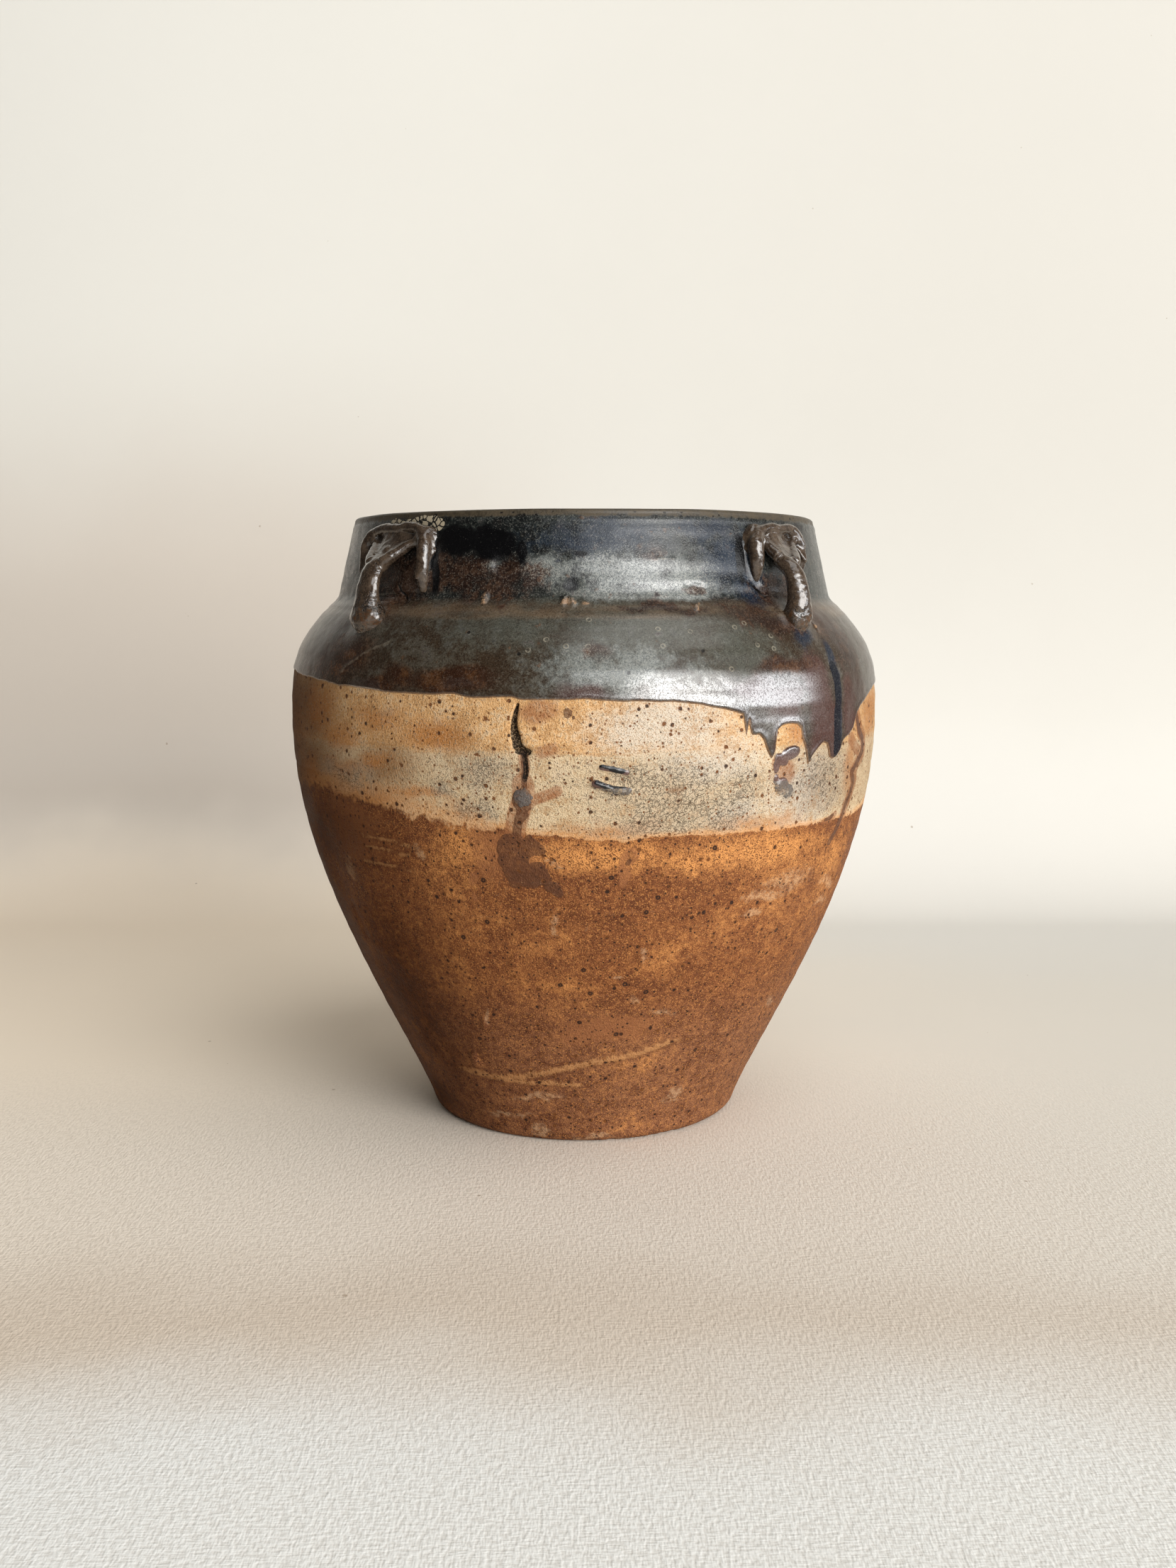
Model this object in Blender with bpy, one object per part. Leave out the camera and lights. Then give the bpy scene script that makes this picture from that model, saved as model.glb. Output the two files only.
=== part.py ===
# Confit pot: a wide-mouthed stoneware storage jar with a short collar and four cord lugs.
# Metres, +Z up. The origin is the centre of the foot, and -Y is the front, between two lugs.
# Azimuths are degrees round the pot from the front, positive towards +X.

import math

import bmesh
import bpy

# Body, from the foot upwards
FOOT_RADIUS = 0.0700           # wall line carried down to the ground
FOOT_EDGE = 0.0040             # rounding of the foot's outer edge
FOOT_RING = 0.0140             # width of the flat ring that the pot stands on
FOOT_HOLLOW = 0.0012           # rise of the underside inside that ring
FOOT_HOLLOW_SLOPE = 0.0070     # run over which the underside rises
FLOOR = 0.0100                 # floor thickness above the hollow's level
FLOOR_CORNER = 0.0140          # rounding between floor and inside wall
BELLY_RADIUS = 0.1335          # widest outside radius
BELLY_HEIGHT = 0.1813          # height of the widest girth above the foot
SEAM_DROP = 0.0193             # luted seam of the two thrown halves, below the widest girth
SHOULDER_STEP = 0.0222         # how far the neck's root stands inside the widest girth
SHOULDER_RISE = 0.0537         # neck's root above the widest girth
COLLAR_RISE = 0.0350           # rim above the neck's root
COLLAR_LEAN = 0.0081           # how far the rim stands inside the neck's root
WALL = 0.0085                  # wall at the foot
COLLAR_WALL = 0.0072           # wall at the neck's root and in the collar
RIM_OUTER_EDGE = 0.0014        # rounding of the rim outside
RIM_INNER_EDGE = 0.0024        # rounding of the rim inside

# Shape of the curved wall: lengths of the Bezier handles at each end of its two arcs
FOOT_HANDLE_RISE = 0.0227
FOOT_HANDLE_RUN = 0.0045
BELLY_HANDLE_DOWN = 0.0752
BELLY_HANDLE_UP = 0.0249
NECK_HANDLE_DROP = 0.0190
NECK_HANDLE_RUN = 0.0207

# Lugs: a thumbed hood under the rim, two side legs and a pulled strap down to the shoulder
PAD_THICKNESS = 0.0015         # smear of luting clay that seats the lug on the collar
PAD_OVERHANG = 0.0008          # how far the pad shows beside the legs
PAD_TOP_DROP = 0.0052          # pad's top below the rim
PAD_FOOT_CLEAR = 0.0012        # pad's lower edge above the neck's root
HOOD_TOP_DROP = 0.0058         # hood's upper edge below the rim
HOOD_TOP_LIP = 0.0014          # how far that edge stands out of the pad
HOOD_HEIGHT = 0.0155           # hood down to the strap's root, at its middle
HOOD_NOTCH = 0.0068            # hood's height where its lower edge notches up beside the strap
HOOD_REACH = 0.0116            # how far the hood's lower edge stands out at the strap
HOOD_THICKNESS = 0.0028
HOOD_DISH = 0.0010             # depth of the thumb's hollow in the hood
LEG_WIDTH = 0.0068             # side leg across, where it leaves the hood
LEG_LIFT = 0.0034              # how far a leg stands out of the pad
STRAP_REACH = 0.0123           # strap's centre line out from the collar, at mid height
STRAP_ROOT_WIDTH = 0.0066      # strap across, where it leaves the hood
STRAP_WIDTH = 0.0092           # strap across, at mid height
STRAP_THICKNESS = 0.0052
STRAP_FOOT_WIDTH = 0.0128      # rounded end that is pressed on the shoulder
STRAP_FOOT_THICKNESS = 0.0098
STRAP_WIDENS = (0.17, 0.50)    # shares of the strap's run between which it widens,
STRAP_SWELLS = (0.44, 0.78)    # swells into its end
STRAP_CLOSES = (0.83, 1.03)    # and closes

# Each lug was pressed on by hand, so its place and its legs differ a little:
# a leg is its distance beside the strap and its length below the hood's upper edge
LUGS = {
    "front_left": {"azimuth": -45.2, "left_leg": (0.0198, 0.0195), "right_leg": (0.0178, 0.0225)},
    "front_right": {"azimuth": 44.6, "left_leg": (0.0100, 0.0215), "right_leg": (0.0212, 0.0150)},
    "back_left": {"azimuth": -134.2, "left_leg": (0.0172, 0.0210), "right_leg": (0.0160, 0.0190)},
    "back_right": {"azimuth": 135.4, "left_leg": (0.0180, 0.0185), "right_leg": (0.0186, 0.0220)},
}

JOINT_GAP = 0.0003             # between pieces that are luted together
SIDES = 64                     # facets round the turned pieces
CUTTER_SIDES = 96
CUTTER_STEPS = 16              # straight stretches along the cutter's shoulder
WALL_STEPS = 11                # straight stretches along each curved wall
COLLAR_STEPS = 3               # up the collar
EDGE_STEPS = 3                 # round each small edge
CORNER_STEPS = 4               # round the corner inside
PAD_SIDES = 24                 # points round a pad
HOOD_COLUMNS = 28
HOOD_ROWS = 6
STRAP_STEPS = 18               # sections along a strap
STRAP_SIDES = 12
HALVINGS = 40                  # halving steps that find where a curve passes a size
MERGE = 0.00001                # points this close are one

# Heights and radii that follow from the sizes above
SEAM_HEIGHT = BELLY_HEIGHT - SEAM_DROP
NECK_HEIGHT = BELLY_HEIGHT + SHOULDER_RISE
RIM_HEIGHT = NECK_HEIGHT + COLLAR_RISE
NECK_RADIUS = BELLY_RADIUS - SHOULDER_STEP

# Handles of the lower wall, foot to belly, and of the upper wall, belly to neck
LOWER_ARC = [(FOOT_RADIUS, 0.0), (FOOT_RADIUS + FOOT_HANDLE_RUN, FOOT_HANDLE_RISE),
             (BELLY_RADIUS, BELLY_HEIGHT - BELLY_HANDLE_DOWN), (BELLY_RADIUS, BELLY_HEIGHT)]
UPPER_ARC = [(BELLY_RADIUS, BELLY_HEIGHT), (BELLY_RADIUS, BELLY_HEIGHT + BELLY_HANDLE_UP),
             (NECK_RADIUS + NECK_HANDLE_RUN, NECK_HEIGHT - NECK_HANDLE_DROP),
             (NECK_RADIUS, NECK_HEIGHT)]


def bezier(handles, t):
    """Point of a cubic Bezier at t, with the unit normal that points out of the pot."""
    a, b, c, d = handles
    s = 1.0 - t
    point = [s ** 3 * a[i] + 3 * s * s * t * b[i] + 3 * s * t * t * c[i] + t ** 3 * d[i]
             for i in (0, 1)]
    slope = [3 * s * s * (b[i] - a[i]) + 6 * s * t * (c[i] - b[i]) + 3 * t * t * (d[i] - c[i])
             for i in (0, 1)]
    length = math.hypot(*slope)
    return point, (slope[1] / length, -slope[0] / length)


def arc_crossing(handles, index, value):
    """Parameter at which a Bezier passes a radius (index 0) or a height (index 1), by halving."""
    low, high = 0.0, 1.0
    rising = handles[-1][index] > handles[0][index]
    for _ in range(HALVINGS):
        middle = 0.5 * (low + high)
        if (bezier(handles, middle)[0][index] < value) == rising:
            low = middle
        else:
            high = middle
    return 0.5 * (low + high)


def wall_at(z):
    """Wall thickness, which thins evenly from the foot to the neck's root."""
    return WALL + (COLLAR_WALL - WALL) * min(max(z / NECK_HEIGHT, 0.0), 1.0)


def wall_line(handles, start, end, count, inside=False):
    """Points of the outer wall, or of the inner wall behind them, from one parameter to another."""
    line = []
    for i in range(count + 1):
        point, normal = bezier(handles, start + (end - start) * i / count)
        depth = wall_at(point[1]) if inside else 0.0
        line.append((point[0] - normal[0] * depth, point[1] - normal[1] * depth))
    return line


def cut_at_height(line, z, keep_above):
    """Shorten a climbing line to end exactly on height z."""
    for (r0, z0), (r1, z1) in zip(line, line[1:]):
        if z0 <= z < z1:
            crossing = (r0 + (r1 - r0) * (z - z0) / (z1 - z0), z)
    if keep_above:
        return [crossing] + [p for p in line if p[1] > z + MERGE]
    return [p for p in line if p[1] < z - MERGE] + [crossing]


def arc_points(centre, radius, start, end, count):
    """Points on a circle about centre, with angles in degrees from the outward direction."""
    angles = [math.radians(start + (end - start) * i / count) for i in range(count + 1)]
    return [(centre[0] + radius * math.cos(a), centre[1] + radius * math.sin(a)) for a in angles]


def collar_radius(z):
    """Outside radius of the collar's cone, carried on below the neck's root."""
    return NECK_RADIUS - COLLAR_LEAN * (z - NECK_HEIGHT) / COLLAR_RISE


def finish(name, bm, material):
    """Turn a bmesh into a named object with faces pointing out."""
    bmesh.ops.recalc_face_normals(bm, faces=bm.faces)
    mesh = bpy.data.meshes.new(name)
    bm.to_mesh(mesh)
    bm.free()
    thing = bpy.data.objects.new(name, mesh)
    bpy.context.scene.collection.objects.link(thing)
    mesh.materials.append(material)
    mesh.shade_smooth()
    mesh.set_sharp_from_angle(angle=math.radians(35))
    return thing


def clay(name, colour, roughness):
    """Fired clay or glaze as a Principled material."""
    material = bpy.data.materials.new(name)
    material.use_nodes = True
    shader = material.node_tree.nodes["Principled BSDF"]
    shader.inputs["Base Color"].default_value = (*colour, 1.0)
    shader.inputs["Roughness"].default_value = roughness
    shader.inputs["Metallic"].default_value = 0.0
    return material


def turned(name, profile, closed, material, sides=SIDES):
    """Spin a profile of (radius, height) points round Z. An open one starts and ends on the axis."""
    bm = bmesh.new()
    verts = [bm.verts.new((r, 0.0, z)) for r, z in profile]
    pairs = list(zip(verts, verts[1:]))
    if closed:
        pairs.append((verts[-1], verts[0]))
    edges = [bm.edges.new(pair) for pair in pairs]
    bmesh.ops.spin(bm, geom=verts + edges, cent=(0, 0, 0), axis=(0, 0, 1),
                   angle=math.tau, steps=sides, use_merge=True)
    bmesh.ops.remove_doubles(bm, verts=bm.verts, dist=MERGE)
    return finish(name, bm, material)


def lower_body(material):
    """Thrown lower half: dished underside, floor and flaring wall up to the luted seam."""
    edge_t = arc_crossing(LOWER_ARC, 1, FOOT_EDGE)
    seam_t = arc_crossing(LOWER_ARC, 1, SEAM_HEIGHT)
    wall_start = bezier(LOWER_ARC, edge_t)[0]
    foot = (wall_start[0] - FOOT_EDGE, 0.0)
    hollow_start = foot[0] - FOOT_RING
    outside = wall_line(LOWER_ARC, edge_t, seam_t, WALL_STEPS - 1)
    inside = wall_line(LOWER_ARC, 0.0, 1.0, WALL_STEPS, inside=True)
    corner_z = FOOT_HOLLOW + FLOOR + FLOOR_CORNER
    inside = cut_at_height(cut_at_height(inside, corner_z, True), SEAM_HEIGHT, False)
    corner = arc_points((inside[0][0] - FLOOR_CORNER, corner_z), FLOOR_CORNER, 0, -90,
                        CORNER_STEPS)
    profile = [(0.0, FOOT_HOLLOW), (hollow_start - FOOT_HOLLOW_SLOPE, FOOT_HOLLOW),
               (hollow_start, 0.0)]
    profile += arc_points((foot[0], FOOT_EDGE), FOOT_EDGE, -90, -20, EDGE_STEPS)
    profile += outside + inside[:0:-1] + corner + [(0.0, FOOT_HOLLOW + FLOOR)]
    return turned("lower_body", profile, False, material)


def upper_body(material):
    """Thrown upper half: belly and shoulder, from the luted seam to the neck's root."""
    start_z = SEAM_HEIGHT + JOINT_GAP
    lower = wall_line(LOWER_ARC, arc_crossing(LOWER_ARC, 1, start_z), 1.0, 2)
    upper = wall_line(UPPER_ARC, 0.0, 1.0, WALL_STEPS)
    outside = lower + upper[1:]
    inside = wall_line(LOWER_ARC, 0.0, 1.0, WALL_STEPS, inside=True)
    inside += wall_line(UPPER_ARC, 0.0, 1.0, WALL_STEPS - 2, inside=True)[1:]
    inside = [p for p in inside if p[1] < NECK_HEIGHT]
    throat = (collar_radius(NECK_HEIGHT) - COLLAR_WALL, NECK_HEIGHT)
    inside = cut_at_height(inside, start_z, True)
    inside = [p for p in inside if p[0] > throat[0] + MERGE] + [throat]
    return turned("upper_body", outside + inside[::-1], True, material)


def neck_collar(material):
    """Collar: a cone that leans in a little to a flat rim with rounded edges."""
    bottom = NECK_HEIGHT + JOINT_GAP
    outer_z = RIM_HEIGHT - RIM_OUTER_EDGE
    inner_z = RIM_HEIGHT - RIM_INNER_EDGE
    heights = [bottom + (outer_z - bottom) * i / COLLAR_STEPS for i in range(COLLAR_STEPS + 1)]
    outside = [(collar_radius(z), z) for z in heights]
    rim = arc_points((outside[-1][0] - RIM_OUTER_EDGE, outer_z), RIM_OUTER_EDGE, 0, 90,
                     EDGE_STEPS)
    inner_top = collar_radius(inner_z) - COLLAR_WALL
    rim += arc_points((inner_top + RIM_INNER_EDGE, inner_z), RIM_INNER_EDGE, 90, 180,
                      EDGE_STEPS)
    inside = [(collar_radius(bottom) - COLLAR_WALL, bottom)]
    return turned("neck_collar", outside + rim[1:] + inside, True, material)


def on_collar(lug, across, z, out):
    """World point at a distance across the lug, a height, and a distance out of the collar."""
    radius = collar_radius(z) + out
    angle = math.radians(lug["azimuth"]) + across / collar_radius(z)
    return (radius * math.sin(angle), -radius * math.cos(angle), z)


def ease(x, low, high):
    """Smooth step from 0 at low to 1 at high."""
    x = min(max((x - low) / (high - low), 0.0), 1.0)
    return x * x * (3.0 - 2.0 * x)


def skin(bm, rings):
    """Triangles between rings of equally many points, with a cap on the first and the last."""
    rings = [[bm.verts.new(p) for p in ring] for ring in rings]
    count = len(rings[0])
    for low, high in zip(rings, rings[1:]):
        for i in range(count):
            j = (i + 1) % count
            bm.faces.new((low[i], low[j], high[j], high[i]))
    bm.faces.new(rings[0])
    bm.faces.new(rings[-1])
    bmesh.ops.recalc_face_normals(bm, faces=bm.faces)
    bmesh.ops.triangulate(bm, faces=bm.faces)


def luting_pad(name, lug, material):
    """Thin rounded smear on the collar behind the lug, with its face bowed like the collar."""
    low = NECK_HEIGHT + PAD_FOOT_CLEAR
    high = RIM_HEIGHT - PAD_TOP_DROP
    left = -(lug["left_leg"][0] + 0.5 * LEG_WIDTH + PAD_OVERHANG)
    right = lug["right_leg"][0] + 0.5 * LEG_WIDTH + PAD_OVERHANG
    rounds = (0.55, 1.0)          # loops of points on each face, as shares of the outline

    def outline(angle, share):
        """Rounded rectangle: a superellipse of the fourth power, shrunk to a share of itself."""
        c, s = math.cos(angle), math.sin(angle)
        across = share * math.copysign(abs(c) ** 0.5, c)
        up = share * math.copysign(abs(s) ** 0.5, s)
        return (0.5 * (left + right) + 0.5 * (right - left) * across,
                0.5 * (low + high) + 0.5 * (high - low) * up)

    front, back = JOINT_GAP + PAD_THICKNESS, JOINT_GAP
    layers = [(share, back) for share in rounds] + [(share, front) for share in rounds[::-1]]
    rings = []
    for share, out in layers:
        flat = [outline(math.tau * i / PAD_SIDES, share) for i in range(PAD_SIDES)]
        rings.append([on_collar(lug, across, z, out) for across, z in flat])
    bm = bmesh.new()
    skin(bm, rings)
    return finish(name, bm, material)


def swept(name, lug, path, half_widths, half_depths, material):
    """Tube of elliptic sections along a path of (across, height, out) points on the collar."""
    rings = []
    for k, (across, z, out) in enumerate(path):
        before, after = path[max(k - 1, 0)], path[min(k + 1, len(path) - 1)]
        run = (after[1] - before[1], after[2] - before[2])
        length = math.hypot(*run)
        normal = (run[1] / length, -run[0] / length)
        ring = []
        for i in range(STRAP_SIDES):
            angle = math.tau * i / STRAP_SIDES
            side = half_widths[k] * math.cos(angle)
            lift = half_depths[k] * math.sin(angle)
            ring.append(on_collar(lug, across + side, z + normal[0] * lift,
                                  out + normal[1] * lift))
        rings.append(ring)
    bm = bmesh.new()
    skin(bm, rings)
    return finish(name, bm, material)


def smooth_path(points, count):
    """Even samples of the Catmull-Rom curve through a few chosen points."""
    ends = [points[0]] + points + [points[-1]]
    path = []
    for k in range(count + 1):
        at = min(k * (len(points) - 1) / count, len(points) - 1.0001)
        i, t = int(at), at - int(at)
        a, b, c, d = ends[i:i + 4]
        path.append(tuple(
            0.5 * (2 * b[n] + (c[n] - a[n]) * t + (2 * a[n] - 5 * b[n] + 4 * c[n] - d[n]) * t * t
                   + (3 * b[n] - a[n] - 3 * c[n] + d[n]) * t ** 3) for n in range(len(a))))
    return path


def hood(name, lug, material):
    """Thumbed plate under the rim whose lower edge runs down in two legs beside the strap."""
    top = RIM_HEIGHT - HOOD_TOP_DROP
    seat = 2 * JOINT_GAP + PAD_THICKNESS
    crease = 0.20                 # flat of the middle, in strap widths
    flank = 0.75                  # from a leg's crest to its inner side, in leg widths
    droop = 0.72                  # how much of the leg's length is gone at its outer side
    shrug = 0.45                  # how far the upper corner is rounded down, in leg widths
    rise = 0.35                   # share of the height over which a leg lifts off the pad
    tuck = 0.30                   # how deep its outer side goes in, in hood thicknesses

    def surface(s, t, depth):
        """Plate point: s runs from one leg's outer side to the other's, t from top to bottom."""
        leg, leg_length = lug["right_leg"] if s > 0 else lug["left_leg"]
        inner, outer = leg - flank * LEG_WIDTH, leg + 0.5 * LEG_WIDTH
        across = abs(s) * outer
        middle = 1.0 - ease(across, crease * STRAP_ROOT_WIDTH, inner)
        crest = ease(across, inner, leg) * (1.0 - droop * ease(across, leg, outer))
        drop = HOOD_NOTCH + (HOOD_HEIGHT - HOOD_NOTCH) * middle + (leg_length - HOOD_NOTCH) * crest
        sunk = shrug * LEG_WIDTH * ease(across, leg - 0.5 * LEG_WIDTH, outer) ** 2
        out = seat + HOOD_TOP_LIP + (HOOD_REACH - seat - HOOD_TOP_LIP) * middle * t ** 0.9
        out += (LEG_LIFT - HOOD_TOP_LIP) * ease(across, inner, leg) * ease(t, 0.0, rise)
        out -= (LEG_LIFT + tuck * HOOD_THICKNESS) * ease(across, leg, outer) ** 1.5
        out -= HOOD_DISH * math.sin(math.pi * t) * (1.0 - crest)
        return on_collar(lug, math.copysign(across, s), top - sunk - (drop - sunk) * t, out - depth)

    rings = []
    for i in range(HOOD_COLUMNS + 1):
        s = -1.0 + 2.0 * i / HOOD_COLUMNS
        shares = [k / HOOD_ROWS for k in range(HOOD_ROWS + 1)]
        ring = [surface(s, t, 0.0) for t in shares]
        ring += [surface(s, t, HOOD_THICKNESS) for t in shares[::-1]]
        rings.append(ring)
    bm = bmesh.new()
    skin(bm, rings)
    return finish(name, bm, material)


def strap(name, lug, material):
    """Pulled strap: leaves the hood, arches over the cord eye and ends in a pressed blob."""
    root_z = RIM_HEIGHT - HOOD_TOP_DROP - HOOD_HEIGHT
    foot_t = arc_crossing(UPPER_ARC, 0, NECK_RADIUS + 0.75 * STRAP_REACH)
    foot_z = bezier(UPPER_ARC, foot_t)[0][1]
    span = root_z - foot_z
    # Heights are shares of the span below the hood, distances out are shares of the reach
    path = smooth_path([
        (0.0, root_z + 0.22 * span, 0.55 * HOOD_REACH),
        (0.0, root_z, HOOD_REACH - 0.5 * STRAP_THICKNESS),
        (0.0, root_z - 0.14 * span, 0.96 * STRAP_REACH),
        (0.0, root_z - 0.36 * span, 1.02 * STRAP_REACH),
        (0.0, root_z - 0.66 * span, 0.95 * STRAP_REACH),
        (0.0, root_z - 0.92 * span, 0.68 * STRAP_REACH),
        (0.0, root_z - 1.14 * span, 0.50 * STRAP_REACH)], STRAP_STEPS)
    widths, depths = [], []
    for k in range(STRAP_STEPS + 1):
        run = k / STRAP_STEPS
        spread, swell = ease(run, *STRAP_WIDENS), ease(run, *STRAP_SWELLS)
        close = math.sqrt(1.0 - 0.75 * ease(run, *STRAP_CLOSES))
        widths.append(0.5 * close * (STRAP_ROOT_WIDTH + (STRAP_WIDTH - STRAP_ROOT_WIDTH) * spread
                                     + (STRAP_FOOT_WIDTH - STRAP_WIDTH) * swell))
        depths.append(0.5 * close * (STRAP_THICKNESS
                                     + (STRAP_FOOT_THICKNESS - STRAP_THICKNESS) * swell))
    return swept(name, lug, path, widths, depths, material)


def seat_cutter(material):
    """Turned body a joint gap larger than shoulder, collar and pads, which trims each lug."""
    profile = [(0.0, BELLY_HEIGHT)]
    for i in range(CUTTER_STEPS + 1):
        point, normal = bezier(UPPER_ARC, i / CUTTER_STEPS)
        profile.append((point[0] + normal[0] * JOINT_GAP, point[1] + normal[1] * JOINT_GAP))
    seat = 2 * JOINT_GAP + PAD_THICKNESS
    pad_foot = NECK_HEIGHT + PAD_FOOT_CLEAR - JOINT_GAP
    profile = [p for p in profile if p[1] < pad_foot and p[0] > collar_radius(pad_foot) + seat
               or p[0] == 0.0]
    above = RIM_HEIGHT + COLLAR_WALL
    profile += [(collar_radius(pad_foot) + seat, pad_foot), (collar_radius(above) + seat, above),
                (0.0, above)]
    cutter = turned("seat_cutter", profile, False, material, CUTTER_SIDES)
    cutter.hide_render = True
    cutter.display_type = "WIRE"
    return cutter


def combine(thing, other, operation):
    """Apply one exact Boolean to an object's mesh."""
    modifier = thing.modifiers.new(operation.lower(), "BOOLEAN")
    modifier.operation = operation
    modifier.solver = "EXACT"
    modifier.object = other
    depsgraph = bpy.context.evaluated_depsgraph_get()
    mesh = bpy.data.meshes.new_from_object(thing.evaluated_get(depsgraph))
    thing.modifiers.clear()
    thing.data = mesh


def lug_loop(name, lug, cutter, material):
    """Hood and strap as one pulled piece, trimmed to sit on the pad and the shoulder."""
    body = strap(name, lug, material)
    cap = hood(name + "_hood", lug, material)
    combine(body, cap, "UNION")
    bpy.data.objects.remove(cap)
    combine(body, cutter, "DIFFERENCE")
    return body


def main():
    for thing in list(bpy.data.objects):
        bpy.data.objects.remove(thing)
    bare = clay("bare_stoneware", (0.33, 0.15, 0.065), 0.72)
    banded = clay("glazed_shoulder", (0.19, 0.15, 0.10), 0.35)
    dark = clay("dark_glaze", (0.07, 0.065, 0.06), 0.28)
    brown = clay("brown_glaze", (0.12, 0.08, 0.05), 0.25)
    lower_body(bare)
    upper_body(banded)
    neck_collar(dark)
    cutter = seat_cutter(dark)
    for place, lug in LUGS.items():
        luting_pad("lug_pad_" + place, lug, dark)
        lug_loop("lug_loop_" + place, lug, cutter, brown)
    bpy.data.objects.remove(cutter)


main()
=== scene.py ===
import bpy
import numpy as np
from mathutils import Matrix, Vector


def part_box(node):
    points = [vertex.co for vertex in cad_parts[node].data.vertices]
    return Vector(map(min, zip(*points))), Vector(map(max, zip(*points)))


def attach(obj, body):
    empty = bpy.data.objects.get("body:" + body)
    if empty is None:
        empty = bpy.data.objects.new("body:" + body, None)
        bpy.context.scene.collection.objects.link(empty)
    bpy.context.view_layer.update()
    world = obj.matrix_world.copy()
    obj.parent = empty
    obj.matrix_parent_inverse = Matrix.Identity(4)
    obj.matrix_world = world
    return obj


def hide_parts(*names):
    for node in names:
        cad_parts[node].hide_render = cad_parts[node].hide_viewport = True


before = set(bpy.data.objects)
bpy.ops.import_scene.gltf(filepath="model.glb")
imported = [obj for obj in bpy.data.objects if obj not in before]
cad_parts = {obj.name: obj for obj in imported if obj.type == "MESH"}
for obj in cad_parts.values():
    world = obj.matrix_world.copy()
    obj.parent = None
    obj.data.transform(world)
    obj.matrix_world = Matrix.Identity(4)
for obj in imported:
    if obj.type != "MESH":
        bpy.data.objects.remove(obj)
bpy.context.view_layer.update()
mm = 0.001


# Sizes of the pot

# The frame gives the ends of the wall's arcs; the handle lengths shape them
body = {
    "footRadius": 0.07,           # wall line carried down to the ground
    "footEdge": 0.004,            # rounding of the foot's outer edge
    "footRing": 0.014,            # flat ring that the pot stands on
    "footHollow": 0.0012,         # rise of the underside within it
    "footSlope": 0.007,
    "floor": 0.01,
    "floorCorner": 0.014,
    "footHandle": (0.0045, 0.0227),
    "bellyHandleDown": 0.0752,
    "bellyHandleUp": 0.0249,
    "neckHandle": (0.0207, 0.019),
    "wall": 0.0085,
    "collarWall": 0.0072,
    "rimOuterEdge": 0.0014,
    "rimInnerEdge": 0.0024,
    "collarLean": 0.0081,         # how far the rim stands in from the neck's root
    "neckSoft": 0.007,            # reach, up and down the wall, of the softened corner at the neck's root
    "lineStep": 0.25 * mm,
    "softSteps": 7,               # width of the softening, in steps of the line
    "columns": 680,               # points round the outside
    "insideEvery": 4,             # the inside takes every fourth of them
}

upperNode = np.array([v.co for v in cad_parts["upper_body"].data.vertices])
upperReach = np.hypot(upperNode[:, 0], upperNode[:, 1])
bellyRadius = float(upperReach.max())
bellyZ = float(upperNode[upperReach.argmax(), 2])
neckZ = float(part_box("upper_body")[1].z)
seamZ = float(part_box("lower_body")[1].z)
rimZ = float(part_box("neck_collar")[1].z)
neckRadius = float(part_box("neck_collar")[1].x)
rimRadius = float(upperReach[upperNode[:, 2] > neckZ - 1e-5].max()) - body["collarLean"]
potTop, potSide = rimZ - 0.02 * mm, bellyRadius - 0.05 * mm


def bell(x, width, power=2):
    # e to the minus (x / width)²: 1 at zero, nothing far from it; a power of 4 gives it a flat top
    return np.exp(-(x / width) ** power)


def arc(a, b, c, d, count):
    # cubic Bezier: the four handles weighted by s³, 3s²t, 3st² and t³
    t = np.linspace(0, 1, count)[:, None]
    a, b, c, d = (np.array(p) for p in (a, b, c, d))
    return (1 - t) ** 3 * a + 3 * (1 - t) ** 2 * t * b + 3 * (1 - t) * t * t * c + t ** 3 * d


def outerLine():
    # the wall's (radius, height) line and its normals: two arcs and a straight collar, softened at the neck
    run, rise = body["footHandle"]
    lower = arc((body["footRadius"], 0), (body["footRadius"] + run, rise),
                (bellyRadius, bellyZ - body["bellyHandleDown"]), (bellyRadius, bellyZ), 900)
    run, drop = body["neckHandle"]
    upper = arc((bellyRadius, bellyZ), (bellyRadius, bellyZ + body["bellyHandleUp"]),
                (neckRadius + run, neckZ - drop), (neckRadius, neckZ), 400)
    collar = np.stack([np.linspace(neckRadius, rimRadius, 200), np.linspace(neckZ, rimZ, 200)], 1)
    line = np.vstack([lower, upper[1:], collar[1:]])
    length = np.r_[0, np.cumsum(np.hypot(*np.diff(line, axis=0).T))]
    even = np.arange(0, length[-1], body["lineStep"])
    line = np.stack([np.interp(even, length, line[:, i]) for i in (0, 1)], 1)
    reach = 16
    kernel = bell(np.arange(-reach, reach + 1), body["softSteps"])
    kernel /= kernel.sum()
    padded = np.pad(line, ((reach, reach), (0, 0)), mode="edge")
    soft = np.stack([np.convolve(padded[:, i], kernel, "valid") for i in (0, 1)], 1)
    near = bell(line[:, 1] - neckZ, body["neckSoft"], 4)[:, None]
    line = line * (1 - near) + soft * near
    slope = np.gradient(line, axis=0)
    slope /= np.linalg.norm(slope, axis=1, keepdims=True)
    return line, np.stack([slope[:, 1], -slope[:, 0]], 1)


wallLine, wallNormals = outerLine()


def wallRadius(z):
    return np.interp(z, wallLine[:, 1], wallLine[:, 0])


def wallNormal(z):
    return np.stack([np.interp(z, wallLine[:, 1], wallNormals[:, i]) for i in (0, 1)], -1)


def collarRadius(z):
    return neckRadius + (rimRadius - neckRadius) * (z - neckZ) / (rimZ - neckZ)


# Noise, steps and marks, as whole arrays

def step(x, low, high):
    # 3t² - 2t³ between low and high
    t = np.clip((x - low) / (high - low), 0, 1)
    return t * t * (3 - 2 * t)


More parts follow.
